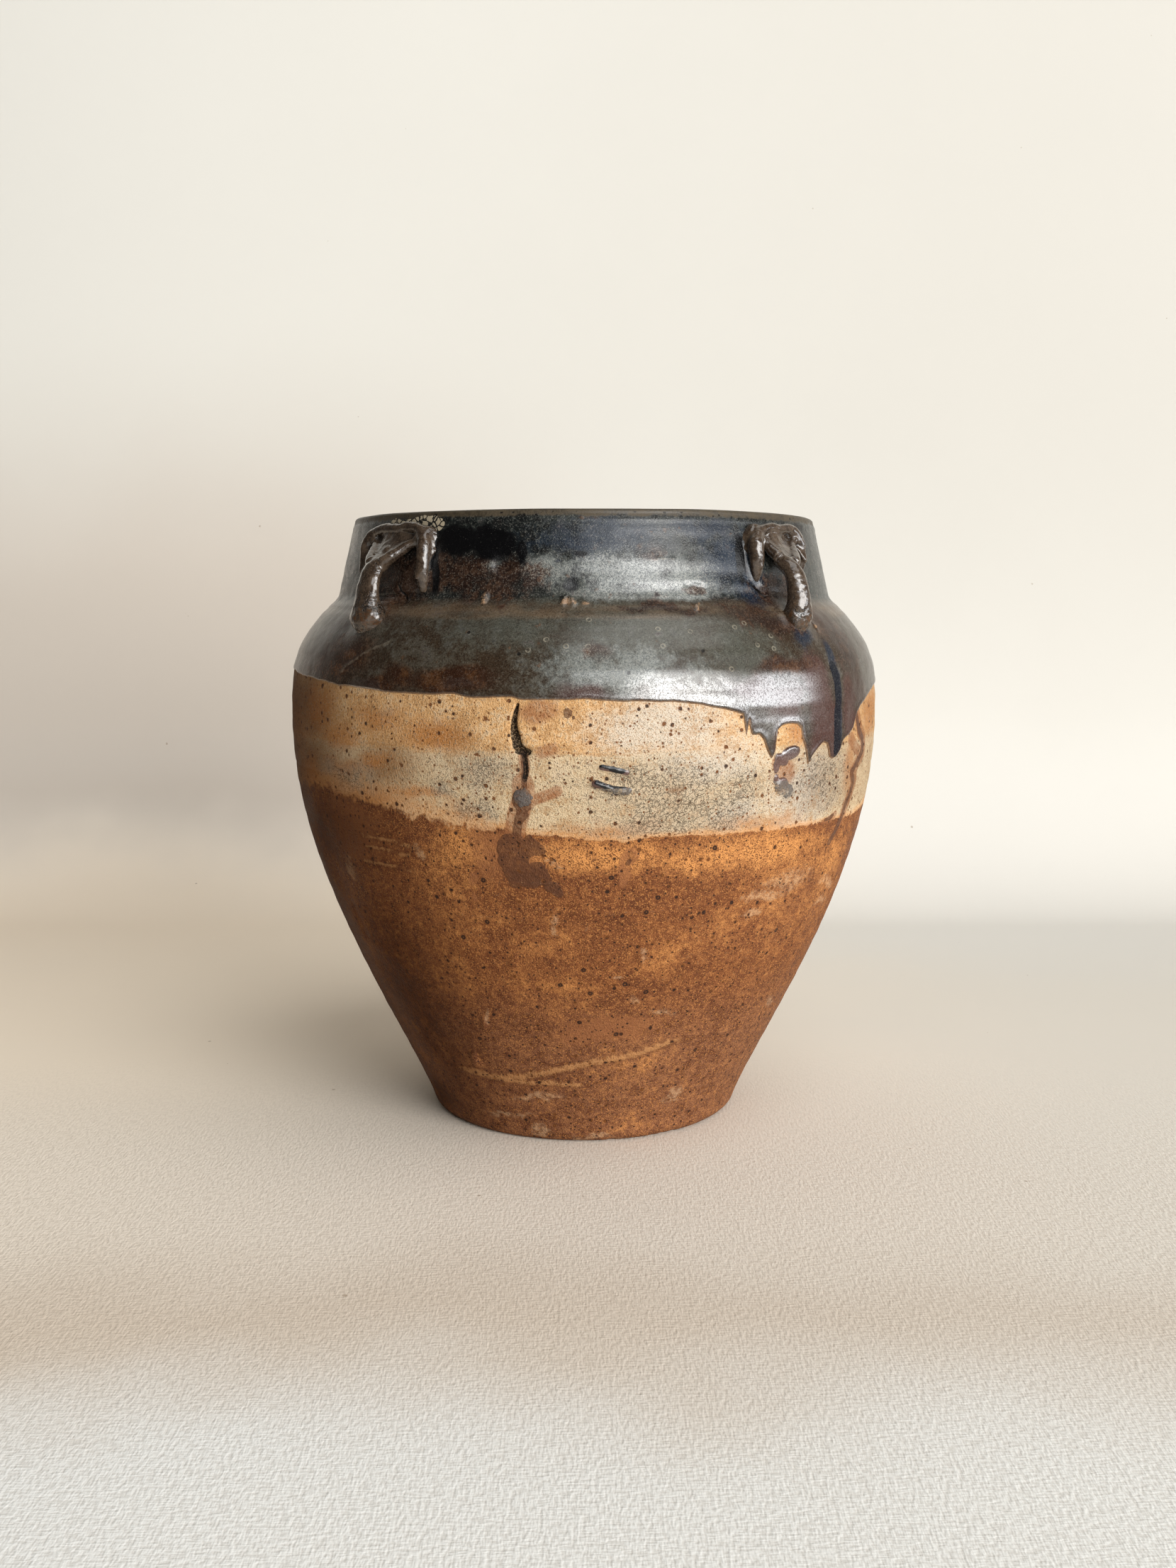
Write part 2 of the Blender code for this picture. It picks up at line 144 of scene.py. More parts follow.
def scattered(i, j, k, seed):
    # a mixed-up number from -1 to 1 for each whole-number corner
    n = (i * 73856093) ^ (j * 19349663) ^ (k * 83492791) ^ (seed * 26544357)
    n = ((n ^ (n >> 13)) * 1274126177) & 0x7fffffff
    n = ((n ^ (n >> 15)) * 668265263) & 0x7fffffff
    return ((n >> 8) & 0xffff) / 32767.5 - 1


def lumps(points, size, seed, octaves=1):
    # corner values of a cubic lattice blended by 3t² - 2t³, each octave half as big and half as strong
    total, share = 0, 1.0
    for octave in range(octaves):
        p = points / (size / 2 ** octave)
        cell = np.floor(p).astype(np.int64)
        t = p - cell
        t = t * t * (3 - 2 * t)
        value = 0
        for corner in np.ndindex(2, 2, 2):
            x, y, z = (np.where(far, t[..., i], 1 - t[..., i]) for i, far in enumerate(corner))
            value = value + x * y * z * scattered(*np.moveaxis(cell + corner, -1, 0), seed + octave)
        total = total + share * value
        share *= 0.5
    return total


def ringPoints(azimuth, radius, z):
    return np.stack([radius * np.sin(azimuth), -radius * np.cos(azimuth), z + 0 * azimuth], -1)


def onCylinder(azimuth, z, squeeze=1.0):
    # points for noise on the wall; squeeze under 1 stretches the noise round the pot
    return ringPoints(azimuth, 0.11 * squeeze, z)


def beside(azimuth, z, mark):
    # distances along the wall and up it from a mark's (azimuth in degrees, height in mm)
    turn = (azimuth - np.radians(mark[0]) + np.pi) % (2 * np.pi) - np.pi
    return turn * wallRadius(mark[1] * mm), z - mark[1] * mm


def spot(azimuth, z, mark):
    # 1 inside a turned ellipse, 0.5 on its edge. A mark is its azimuth, height, half width, half height and
    # turn, in degrees and mm, then its blur as a share of its size
    across, up = beside(azimuth, z, mark)
    turn = np.radians(mark[4])
    along = (across * np.cos(turn) + up * np.sin(turn)) / (mark[2] * mm)
    off = (up * np.cos(turn) - across * np.sin(turn)) / (mark[3] * mm)
    return np.clip((1 - np.hypot(along, off)) / mark[5] + 0.5, 0, 1)


def spots(azimuth, z, marks):
    # the strongest of several marks, each worked out only near itself
    value = np.zeros(z.shape)
    for mark in marks:
        across, up = beside(azimuth, z, mark)
        reach = max(mark[2], mark[3]) * (1 + 0.5 * mark[5]) * mm
        near = (np.abs(across) < reach) & (np.abs(up) < reach)
        value[near] = np.maximum(value[near], spot(azimuth[near], z[near], mark))
    return value


drift = {"along": 0.0034, "up": 0.0028, "small": 0.0006}


def drifted(azimuth, z):
    # the wall's places moved about by noise, so that painted marks lose their even outlines
    place = onCylinder(azimuth, z)
    along = drift["along"] * lumps(place, 0.015, 101, 3) + drift["small"] * lumps(place, 0.0026, 107)
    up = drift["up"] * lumps(place + 0.3, 0.013, 103, 3) + drift["small"] * lumps(place + 0.7, 0.0026, 109)
    return azimuth + along / wallRadius(z), z + up


def fromLine(azimuth, z, places):
    # distance to a line of (azimuth, height) places on the unrolled wall, and the share of the way along it
    best, share = np.full(z.shape, 1.0), np.zeros_like(z)
    for i, (a, b) in enumerate(zip(places, places[1:])):
        across, up = beside(azimuth, z, a)
        end = np.radians(b[0] - a[0]) * wallRadius(a[1] * mm), (b[1] - a[1]) * mm
        t = np.clip((across * end[0] + up * end[1]) / (end[0] ** 2 + end[1] ** 2), 0, 1)
        distance = np.hypot(across - t * end[0], up - t * end[1])
        share = np.where(distance < best, (i + t) / (len(places) - 1), share)
        best = np.minimum(best, distance)
    return best, share


def scatter(seed, count, azimuths, heights, widths, stretch, blur):
    # marks strewn over part of the wall, the same on each run
    draw = np.random.default_rng(seed)
    rows = []
    for _ in range(count):
        width = draw.uniform(*widths)
        rows.append((draw.uniform(*azimuths), draw.uniform(*heights), width, width * draw.uniform(*stretch),
                     draw.uniform(-15, 15), blur))
    return rows


# The glaze's lower edge, its drips and what else lies on the wall

# Line of the dip, as azimuth and height in mm, chosen one by one; the back repeats the front's way of running
dipLine = [
    (-180, 198), (-170, 199), (-160, 197), (-152, 192), (-148, 183), (-146, 178), (-144, 184), (-140, 193),
    (-132, 197), (-120, 201), (-100, 203.5), (-75, 203.2), (-65, 201.8), (-55, 200.5), (-48, 199),
    (-40, 198), (-30, 197), (-22, 197.5), (-18.5, 196.4), (-12, 196.8), (-10.5, 195.6), (0, 196),
    (7, 195.4), (15, 194.7), (20, 193.7), (24, 192), (28, 189.3), (29.2, 187.5), (29.3, 183.5),
    (28.6, 180.2), (29.8, 181), (31.2, 181.2), (32.2, 179), (33.2, 174), (34.2, 170.6), (34.9, 173.5),
    (35, 181.5), (36.3, 184), (38, 184.6), (40, 184), (41.1, 182), (41.4, 178), (42.3, 174.5), (43.2, 167),
    (44.2, 170.5), (45.8, 173.6), (47.4, 176), (48.6, 175.4), (49.6, 169.6), (50.8, 168.8), (52, 169.4),
    (53.2, 171.8), (54.2, 175.6), (56.5, 177.8), (58.3, 180.5), (59.6, 186), (62, 189.5), (66, 192.5),
    (72, 196), (85, 199), (100, 200), (112, 197), (119, 191), (121.5, 184), (123, 189), (130, 196),
    (140, 198), (150, 195), (156, 186), (158.5, 179), (161, 188), (168, 196), (180, 198),
]

glazing = {
    "thickness": 0.42 * mm,
    "lip": 0.16 * mm,             # how much more the rolled edge holds
    "lipWidth": 1.1 * mm,
    "ragged": 0.35 * mm,
    "rise": 0.35 * mm,            # way in which the coat reaches its thickness
    "smoothing": 2.0,             # degrees
}


def lineHeight(places, azimuth):
    # height of a line of (azimuth, height in mm) places, followed round the pot
    line = np.array(places)
    return np.interp(np.degrees(azimuth), line[:, 0], line[:, 1], period=360) * mm


def dipHeight(azimuth):
    wobble = lumps(onCylinder(azimuth, 0), 0.006, 11, 3)
    return lineHeight(dipLine, azimuth) + glazing["ragged"] * wobble


dipTurns = np.linspace(-np.pi, np.pi, 14401)
dipCurve = dipHeight(dipTurns)

# The same line smoothed over about two degrees, for the rows of the mesh well above the edge
turnCount = len(dipTurns) - 1
waves = np.fft.rfftfreq(turnCount, np.degrees(dipTurns[1] - dipTurns[0]))
kept = np.exp(-0.5 * (2 * np.pi * waves * glazing["smoothing"]) ** 2)
dipSoft = np.fft.irfft(np.fft.rfft(dipCurve[:-1]) * kept, turnCount)


def dipEdge(azimuth):
    return np.interp(azimuth, dipTurns, dipCurve, period=2 * np.pi)


def fromDip(azimuth, z):
    # distance to the dip's edge, positive in the glaze: the nearest crossing among the columns up to 3 mm to
    # each side
    radius = wallRadius(z)
    nearest = [np.full(z.shape, 1.0), np.full(z.shape, 1.0)]
    for offset in np.arange(-3.0, 3.01, 0.25) * mm:
        above = z - dipEdge(azimuth + offset / radius)
        for i, crossed in enumerate((above < 0, above > 0)):
            nearest[i] = np.minimum(nearest[i], np.where(crossed, abs(offset), np.hypot(offset, above)))
    return np.where(z > dipEdge(azimuth), nearest[0], -nearest[1])


# Glaze that dripped and stayed on the bare band, each drop a mark as above and then its height in mm; the
# crumbs and the dents are written the same way
drips = [
    (38.6, 173, 5.4, 2.7, 10, 0.7, 0.8), (36.4, 170.6, 4, 2.2, -24, 0.8, 0.6),
    (35.4, 168.2, 1.6, 3, 0, 0.8, 0.35), (37, 159.8, 3.6, 3.6, 0, 0.6, 1.2),
    (38.4, 157.6, 3.4, 2.8, -18, 0.6, 1.3), (35.6, 162.4, 1.3, 2.4, 10, 0.8, 0.6),
    (-10.2, 158.2, 3.7, 3.6, 0, 0.5, 0.5), (121.6, 172, 2.6, 5, 0, 0.5, 1.1),
    (-146.2, 168, 2.2, 4, 0, 0.5, 1), (158.6, 164, 2.4, 3, 0, 0.5, 1.2), (-101, 181, 4, 1.3, 10, 0.6, 0.8),
]

# Crumbs of clay fired onto the wall
crumbs = [
    (-20.1, 234.2, 1.3, 2.4, 14, 0.7, 1.5), (-3.2, 233.7, 1.7, 1.5, 0, 0.7, 1.4),
    (-2, 233, 1.2, 1.3, 40, 0.7, 1.5), (-3.9, 232.8, 1.2, 1, -30, 0.7, 1.1),
    (0.2, 232.7, 2.2, 0.6, -4, 0.8, 0.5), (23, 231.8, 1.5, 0.7, 30, 0.7, 1.1),
    (22.6, 230.8, 0.8, 1.5, 0, 0.7, 0.9), (-31.5, 38.2, 2.3, 3.4, 10, 0.6, 1.6),
    (-25.2, 58, 1.2, 3.2, -12, 0.7, 0.8), (16.3, 56, 2, 0.9, -30, 0.7, 0.6),
    (11.8, 91, 1.2, 4.2, 8, 0.7, 0.5), (-14.6, 89.5, 1.3, 4, -18, 0.8, 0.4),
    (-5.2, 105.5, 0.8, 4.6, 2, 0.8, 0.3), (9.2, 135.2, 1.6, 2.6, 35, 0.6, 0.6),
    (51, 223, 1, 0.9, 0, 0.7, 0.7), (96, 233.5, 1.9, 1.3, 8, 0.7, 1.2),
    (-118, 232.8, 1.6, 1.9, 0, 0.7, 1.1), (170, 150, 2, 1.2, 10, 0.7, 0.7),
]

# Dents pressed in before firing
dents = [
    (-17.2, 247.2, 4, 3.4, 0, 1.3, 1.15), (24.4, 239, 2.6, 1.1, -12, 1.2, 0.5),
    (21.8, 239.6, 1, 0.9, 0, 1.2, 0.4), (-4.2, 250.6, 2.2, 1.2, 0, 1.3, 0.3),
    (-1.6, 239.6, 3.2, 2.4, 0, 1.3, 0.35), (-58, 95, 3, 7.5, 0, 1.4, 0.5), (3.5, 213.5, 7, 3, 0, 1.4, 0.22),
    (30, 110, 26, 12, 0, 1.6, 0.5), (-8, 60, 30, 14, 0, 1.6, 0.5), (140, 120, 28, 16, 0, 1.6, 0.6),
    (-120, 80, 26, 18, 0, 1.6, 0.6), (100, 246, 9, 5, 0, 1.5, 0.5), (-160, 250, 8, 4, 0, 1.5, 0.4),
]

# Lines on the wall: places, half width and height in mm (under 0 for a groove)
scores = {
    "crack": ([(-10.9, 194), (-11.1, 192), (-11.4, 188.8), (-11.5, 185.6), (-11.3, 182.4), (-11, 178.8),
        (-10.7, 176.8), (-9.9, 176), (-9.2, 175.8)], 1.7, -1.9),
    "crackBelow": ([(-9.9, 176), (-9.8, 174), (-9.6, 171.2), (-9.5, 168.6), (-9.8, 165.2)], 0.7, -0.7),
    "scrape": ([(-44, 31.2), (-34, 31.6), (-26, 30.8), (-19, 32.4), (-12, 35.2), (-4, 39), (4, 42),
        (13, 44.4), (21, 48.6), (28, 51.4)], 1.7, 0.6),
    "scrapeTwin": ([(-26, 30.6), (-18, 30.2), (-8, 30.6), (1, 29.4)], 1.3, 0.35),
    "scratchHigh": ([(-47, 138), (-40, 137.4), (-34, 136), (-31.5, 134.2)], 0.7, -0.3),
    "scratchMiddle": ([(-46, 133.4), (-39, 132.8), (-33, 131.6)], 0.6, -0.25),
    "scratchLow": ([(-48, 126.4), (-40, 126.2), (-33, 125.2)], 0.7, -0.3),
    "neckScratch": ([(14.5, 249.2), (17.5, 250), (19.6, 249.8)], 0.4, 0.35),
    "bandScratch": ([(14, 160.4), (17.5, 160.8)], 0.4, -0.2),
    "eyeCrackLeft": ([(-42.4, 240), (-41.6, 237.5), (-39.8, 234.5), (-38.6, 232.6)], 0.45, -1),
    "eyeCrackRight": ([(36.6, 241.6), (38.2, 239.6), (39.6, 237.4), (41.6, 234.6)], 0.45, -1),
    "backScrape": ([(128, 60), (140, 66), (158, 70), (176, 69)], 1, 0.4),
    "backScratch": ([(-150, 104), (-138, 107), (-122, 106)], 0.7, -0.3),
    "shoulderRun": ([(-36, 218), (-42, 213.5), (-47, 207.5), (-49, 203.5)], 0.8, 0.25),
}

# Short runs of glaze on the bare band: places, half width and height in mm
runs = {
    "runHigh": ([(3, 170.1), (5.1, 169.2), (7.2, 168)], 1.1, 0.8),
    "runLow": ([(2, 163.8), (3.5, 162.5), (5, 161.4), (7.3, 160.8)], 1.6, 1.5),
}

throwing = {
    "bias": 0.42 * mm,            # taken off the belly, so that what stands out stays inside the CAD box
    "biasReach": 0.042,
    "ringDepth": 0.16 * mm, "ringPitch": 0.0118, "smallPitch": 0.0071,
    "fineDepth": 0.045 * mm, "fineSize": 0.0026,
    "lumpDepth": 0.3 * mm, "lumpSize": 0.034,
    "outOfRound": 0.3 * mm,
    "seamDepth": 0.22 * mm, "seamWidth": 0.0007, "dragWidth": 0.0006,
    # low bead under the wiped rim
    "bead": 0.25 * mm, "beadDrop": 0.0042, "beadWidth": 0.0011,
    # clay pushed up in a ring round a dent
    "pushed": 0.5 * mm, "pushedReach": 0.0046, "pushedWidth": 0.0011,
    # drag lines at the neck's root, as height and depth in mm
    "dragLines": ((227.5, 0.16), (229.7, -0.18), (231.3, 0.22), (233.0, -0.16)),
}


def crackWidth(share):
    # the crack opens from a hair at its top and closes a little at its foot
    return 0.32 + 0.68 * step(share, 0.0, 0.58) - 0.3 * step(share, 0.86, 1.0)


def relief(azimuth, z):
    # height of the outside over its turned line: rings of the throwing, lumps of the hand, and each mark
    place = onCylinder(azimuth, z)
    wobble = 0.0012 * lumps(place, 0.08, 3)
    rings = (np.sin(2 * np.pi * (z + wobble) / throwing["ringPitch"]) * 0.5
             + np.sin(2 * np.pi * (z + 2 * wobble) / throwing["smallPitch"] + 1.0) * 0.3)
    rings *= 0.6 + 0.4 * lumps(onCylinder(azimuth, z, 0.5), 0.03, 5)
    fine = lumps(onCylinder(azimuth, z, 0.12), throwing["fineSize"], 7, 2)
    hand = lumps(onCylinder(azimuth, z, 0.6), throwing["lumpSize"], 9, 2)
    round2 = np.cos(2 * azimuth + 0.9 + 6 * z) + 0.5 * np.cos(3 * azimuth - 0.5)
    amount = (throwing["ringDepth"] * rings + throwing["fineDepth"] * fine
              + throwing["lumpDepth"] * 0.6 * hand + throwing["outOfRound"] * 0.5 * round2)
    amount = amount - throwing["bias"] * bell(z - bellyZ, throwing["biasReach"])
    seamWobble = 0.0006 * lumps(onCylinder(azimuth, 0), 0.02, 13, 2)
    amount = amount - throwing["seamDepth"] * bell(z - seamZ - seamWobble, throwing["seamWidth"])
    for height, depth in throwing["dragLines"]:
        wave = height * mm + 0.0005 * lumps(onCylinder(azimuth, 0), 0.05, int(height * 10), 2)
        patchy = 0.5 + 0.5 * lumps(onCylinder(azimuth, z, 0.4), 0.03, 21)
        amount = amount + depth * mm * bell(z - wave, throwing["dragWidth"]) * patchy
    amount = amount + throwing["bead"] * bell(z - rimZ + throwing["beadDrop"], throwing["beadWidth"])
    rough = 1 + 0.75 * lumps(place, 0.0014, 23, 2)
    for mark in crumbs:
        amount = amount + mark[6] * mm * step(spot(azimuth, z, mark) * rough, 0.05, 1.0)
    for mark in dents:
        amount = amount - mark[6] * mm * step(spot(azimuth, z, mark), 0.0, 1.0)
    # clay pushed up beside the first dent
    across, up = beside(azimuth, z, dents[0])
    away = np.hypot(across, up) - throwing["pushedReach"]
    pushed = throwing["pushed"] * bell(away, throwing["pushedWidth"])
    amount = amount + pushed * step(-across - up, -0.004, 0.004)
    uneven = 0.75 + 0.5 * lumps(place, 0.006, 27)
    for name, (places, width, height) in scores.items():
        distance, share = fromLine(azimuth, z, places)
        width = width * mm * uneven
        if name == "crack":
            width = width * crackWidth(share)
        ends = step(share, -0.02, 0.12) * step(share, 1.02, 0.88) if name != "crack" else 1.0
        amount = amount + height * mm * bell(distance, np.maximum(width, 0.00015)) * ends
    return amount


def glazeHeight(azimuth, z, distance):
    # thickness of the coat: nothing outside the dip, a rolled lip at its edge, then even; more over the runs
    rise = 1 - np.exp(-np.clip(distance, 0, 1) / glazing["rise"])
    lip = bell(distance - 0.9 * mm, glazing["lipWidth"])
    degrees = np.degrees(azimuth)
    heavy = 1 + 0.45 * step(degrees, 24, 34) * step(degrees, 68, 56) * step(z, 0.205, 0.19)
    return np.where(distance > 0, rise * (glazing["thickness"] + glazing["lip"] * lip) * heavy, 0)


def dripHeight(azimuth, z):
    amount = np.zeros_like(z)
    for mark in drips:
        level = spot(azimuth, z, mark)
        amount = np.maximum(amount, mark[6] * mm * np.sqrt(step(level, 0.35, 1.0)))
    for places, width, height in runs.values():
        distance, _ = fromLine(azimuth, z, places)
        amount = np.maximum(amount, height * mm * np.sqrt(np.clip(1 - (distance / (width * mm)) ** 2, 0, 1)))
    return amount


# Where the lugs sit: azimuth, and each side leg as its distance beside the strap and its length, in metres;
# then what sets it apart: how slim, twisted and leaning the strap is, how fat a leg is and the foot's blob
lugs = {
    "front_left": {"azimuth": -45.2, "left": (0.0198, 0.0195), "right": (0.0178, 0.0225), "leftFat": 0.95,
                   "rightFat": 1.12, "rightLean": 0.8 * mm, "strapLean": -0.8 * mm, "blob": 1.28},
    "front_right": {"azimuth": 44.6, "left": (0.01, 0.018), "right": (0.0212, 0.015), "leftFat": 1.3,
                    "rightFat": 0.8, "slim": 0.8, "twist": -34, "strapLean": 1.5 * mm, "blob": 0.95},
    "back_left": {"azimuth": -134.2, "left": (0.0172, 0.021), "right": (0.016, 0.019), "twist": 14,
                  "strapLean": 0.9 * mm},
    "back_right": {"azimuth": 135.4, "left": (0.018, 0.0185), "right": (0.0186, 0.022), "slim": 0.94,
                   "strapLean": -1.0 * mm},
}


def strapSwell(azimuth, z):
    # glaze and clay drawn up round each strap's foot on the shoulder
    amount = np.zeros_like(z)
    for lug in lugs.values():
        level = spot(azimuth, z, (lug["azimuth"], *strap["swellMark"]))
        amount = amount + strap["swell"] * level ** 2 * (1 + 0.2 * lumps(onCylinder(azimuth, z), 0.004, 31))
    return amount


def outside(azimuth, z, coat=True):
    # a point of the dressed outside, at an azimuth and a height of the turned line
    amount = relief(azimuth, z) + strapSwell(azimuth, z)
    if coat:
        amount = amount + glazeHeight(azimuth, z, fromDip(azimuth, z)) + dripHeight(azimuth, z)
    normal = wallNormal(z)
    point = ringPoints(azimuth, wallRadius(z) + normal[..., 0] * amount, z + normal[..., 1] * amount)
    point[..., :2] = np.clip(point[..., :2], -potSide, potSide)
    point[..., 2] = np.clip(point[..., 2], 0.02 * mm, potTop)
    return point


# Meshes

def wallRings(heights, coat=True):
    # rings of the outside, one for each height, which is a number or one for each column
    z = np.stack([np.broadcast_to(h, columns.shape) for h in heights])
    return list(outside(np.broadcast_to(columns, z.shape).copy(), z, coat))


def evenColumns():
    # azimuths round the pot, closer together at the front and closest at the crack and the drips
    fine = np.radians(np.linspace(-180, 180, 7201))
    degrees = np.degrees(fine)
    density = (1 + 0.7 * step(np.abs(degrees), 95, 70) + 2.2 * bell(degrees + 10.8, 1.6)
               + 1.0 * step(degrees, 26, 30) * step(degrees, 62, 56) + 0.8 * bell(degrees - 4.6, 3.4, 4))
    way = np.r_[0, np.cumsum((density[1:] + density[:-1]) / 2)]
    places = np.arange(body["columns"]) / body["columns"] * way[-1]
    return np.interp(places, way, fine)


columns = evenColumns()
insideColumns = columns[::body["insideEvery"]]


def addThing(name, data):
    thing = bpy.data.objects.new(name, data)
    bpy.context.scene.collection.objects.link(thing)
    return thing


def addField(mesh, name, values):
    mesh.attributes.new(name, "FLOAT", "POINT").data.foreach_set("value", np.asarray(values, np.float32))


def makeMesh(name, points, quads, triangles, material=(), fields=None, slots=None):
    # points, then four-sided and three-sided faces, put in as whole arrays
    mesh = bpy.data.meshes.new(name)
    quads, triangles = np.array(quads, int).reshape(-1, 4), np.array(triangles, int).reshape(-1, 3)
    corners = np.r_[quads.ravel(), triangles.ravel()]
    starts = np.r_[np.arange(len(quads)) * 4, len(quads) * 4 + np.arange(len(triangles)) * 3]
    mesh.vertices.add(len(points))
    mesh.vertices.foreach_set("co", np.asarray(points, np.float32).ravel())
    mesh.loops.add(len(corners))
    mesh.loops.foreach_set("vertex_index", corners.astype(np.int32))
    mesh.polygons.add(len(starts))
    mesh.polygons.foreach_set("loop_start", starts.astype(np.int32))
    if slots is not None:
        mesh.polygons.foreach_set("material_index", np.asarray(slots, np.int32))
    mesh.update(calc_edges=True)
    mesh.validate()
    for field, values in (fields or {}).items():
        addField(mesh, field, values)
    for one in material:
        mesh.materials.append(one)
    mesh.shade_smooth()
    mesh.set_sharp_from_angle(angle=np.radians(50))
    return addThing(name, mesh)


def strip(low, high):
    # faces between two rings, given as arrays of point numbers; a ring of fewer points takes a fan at each
    few = min(len(low), len(high))
    if len(low) == len(high):
        after = np.roll(np.arange(few), -1)
        return np.stack([low, low[after], high[after], high], 1), np.zeros((0, 3), int)
    many, lessRing = (low, high) if len(low) > len(high) else (high, low)
    each = len(many) // few
    start = np.arange(few) * each
    here, there = lessRing, np.roll(lessRing, -1)
    fans = []
    for i in range(each):
        a, b = many[(start + i) % len(many)], many[(start + i + 1) % len(many)]
        fans.append(np.stack([a, b, here if i < each // 2 else there], 1))
    fans.append(np.stack([many[start + each // 2], there, here], 1))
    fans = np.vstack(fans)
    return np.zeros((0, 4), int), fans if many is low else fans[:, ::-1]


def turnedShell(name, rings, insideFrom, material, fields, closed=False, start=None, end=None):
    # rings from bottom to top outside and down inside, joined by strips; open ends close on the axis
    counts = np.cumsum([0] + [len(r) for r in rings])
    numbers = [np.arange(a, b) for a, b in zip(counts, counts[1:])]
    points = np.vstack(rings)
    quads, triangles, quadSlots, triangleSlots = [], [], [], []
    pairs = list(zip(numbers, numbers[1:])) + ([(numbers[-1], numbers[0])] if closed else [])
    for i, (low, high) in enumerate(pairs):
        four, three = strip(low, high)
        quads.append(four)
        triangles.append(three)
        inner = int(i >= insideFrom)
        quadSlots.append(np.full(len(four), inner))
        triangleSlots.append(np.full(len(three), inner))
    for pole, ring, flip in ((start, numbers[0], True), (end, numbers[-1], False)):
        if pole is not None:
            centre = np.full(len(ring), len(points))
            points = np.vstack([points, [[0, 0, pole]]])
            fan = np.stack([ring, np.roll(ring, -1), centre], 1)
            triangles.append(fan[:, ::-1] if flip else fan)
            triangleSlots.append(np.full(len(fan), 0 if flip else 1))
    quads, triangles = np.vstack(quads), np.vstack(triangles)
    slots = np.r_[np.concatenate(quadSlots), np.concatenate(triangleSlots)]
    azimuth = np.arctan2(points[:, 0], -points[:, 1])
    return makeMesh(name, points, quads, triangles, material, fields(azimuth, points), slots)


def insideWall(z):
    # the inner wall, its thickness behind the outer line, with the rings of the throwing
    line, normal = wallRadius(z), wallNormal(z)
    thick = body["wall"] + (body["collarWall"] - body["wall"]) * np.clip(z / neckZ, 0, 1)
    return line - normal[..., 0] * thick, z - normal[..., 1] * thick


def insideRings(heights):
    rings = []
    for z in heights:
        radius, height = insideWall(np.float64(z))
        wobble = 1.5 * lumps(onCylinder(insideColumns, height), 0.06, 41)
        ring = 0.35 * mm * np.sin(2 * np.pi * height / 0.0105 + wobble)
        rings.append(ringPoints(insideColumns, radius + ring, height))
    return rings


def seamRing(z, shift):
    # ring out of sight in the middle of the wall, where two pieces meet
    return ringPoints(insideColumns, 0.5 * (insideWall(z)[0] + wallRadius(z)), z + shift)


# Paint: soft marks on the wall that the materials read as attributes, each as
# azimuth, height in mm, half width, half height, turn, blur

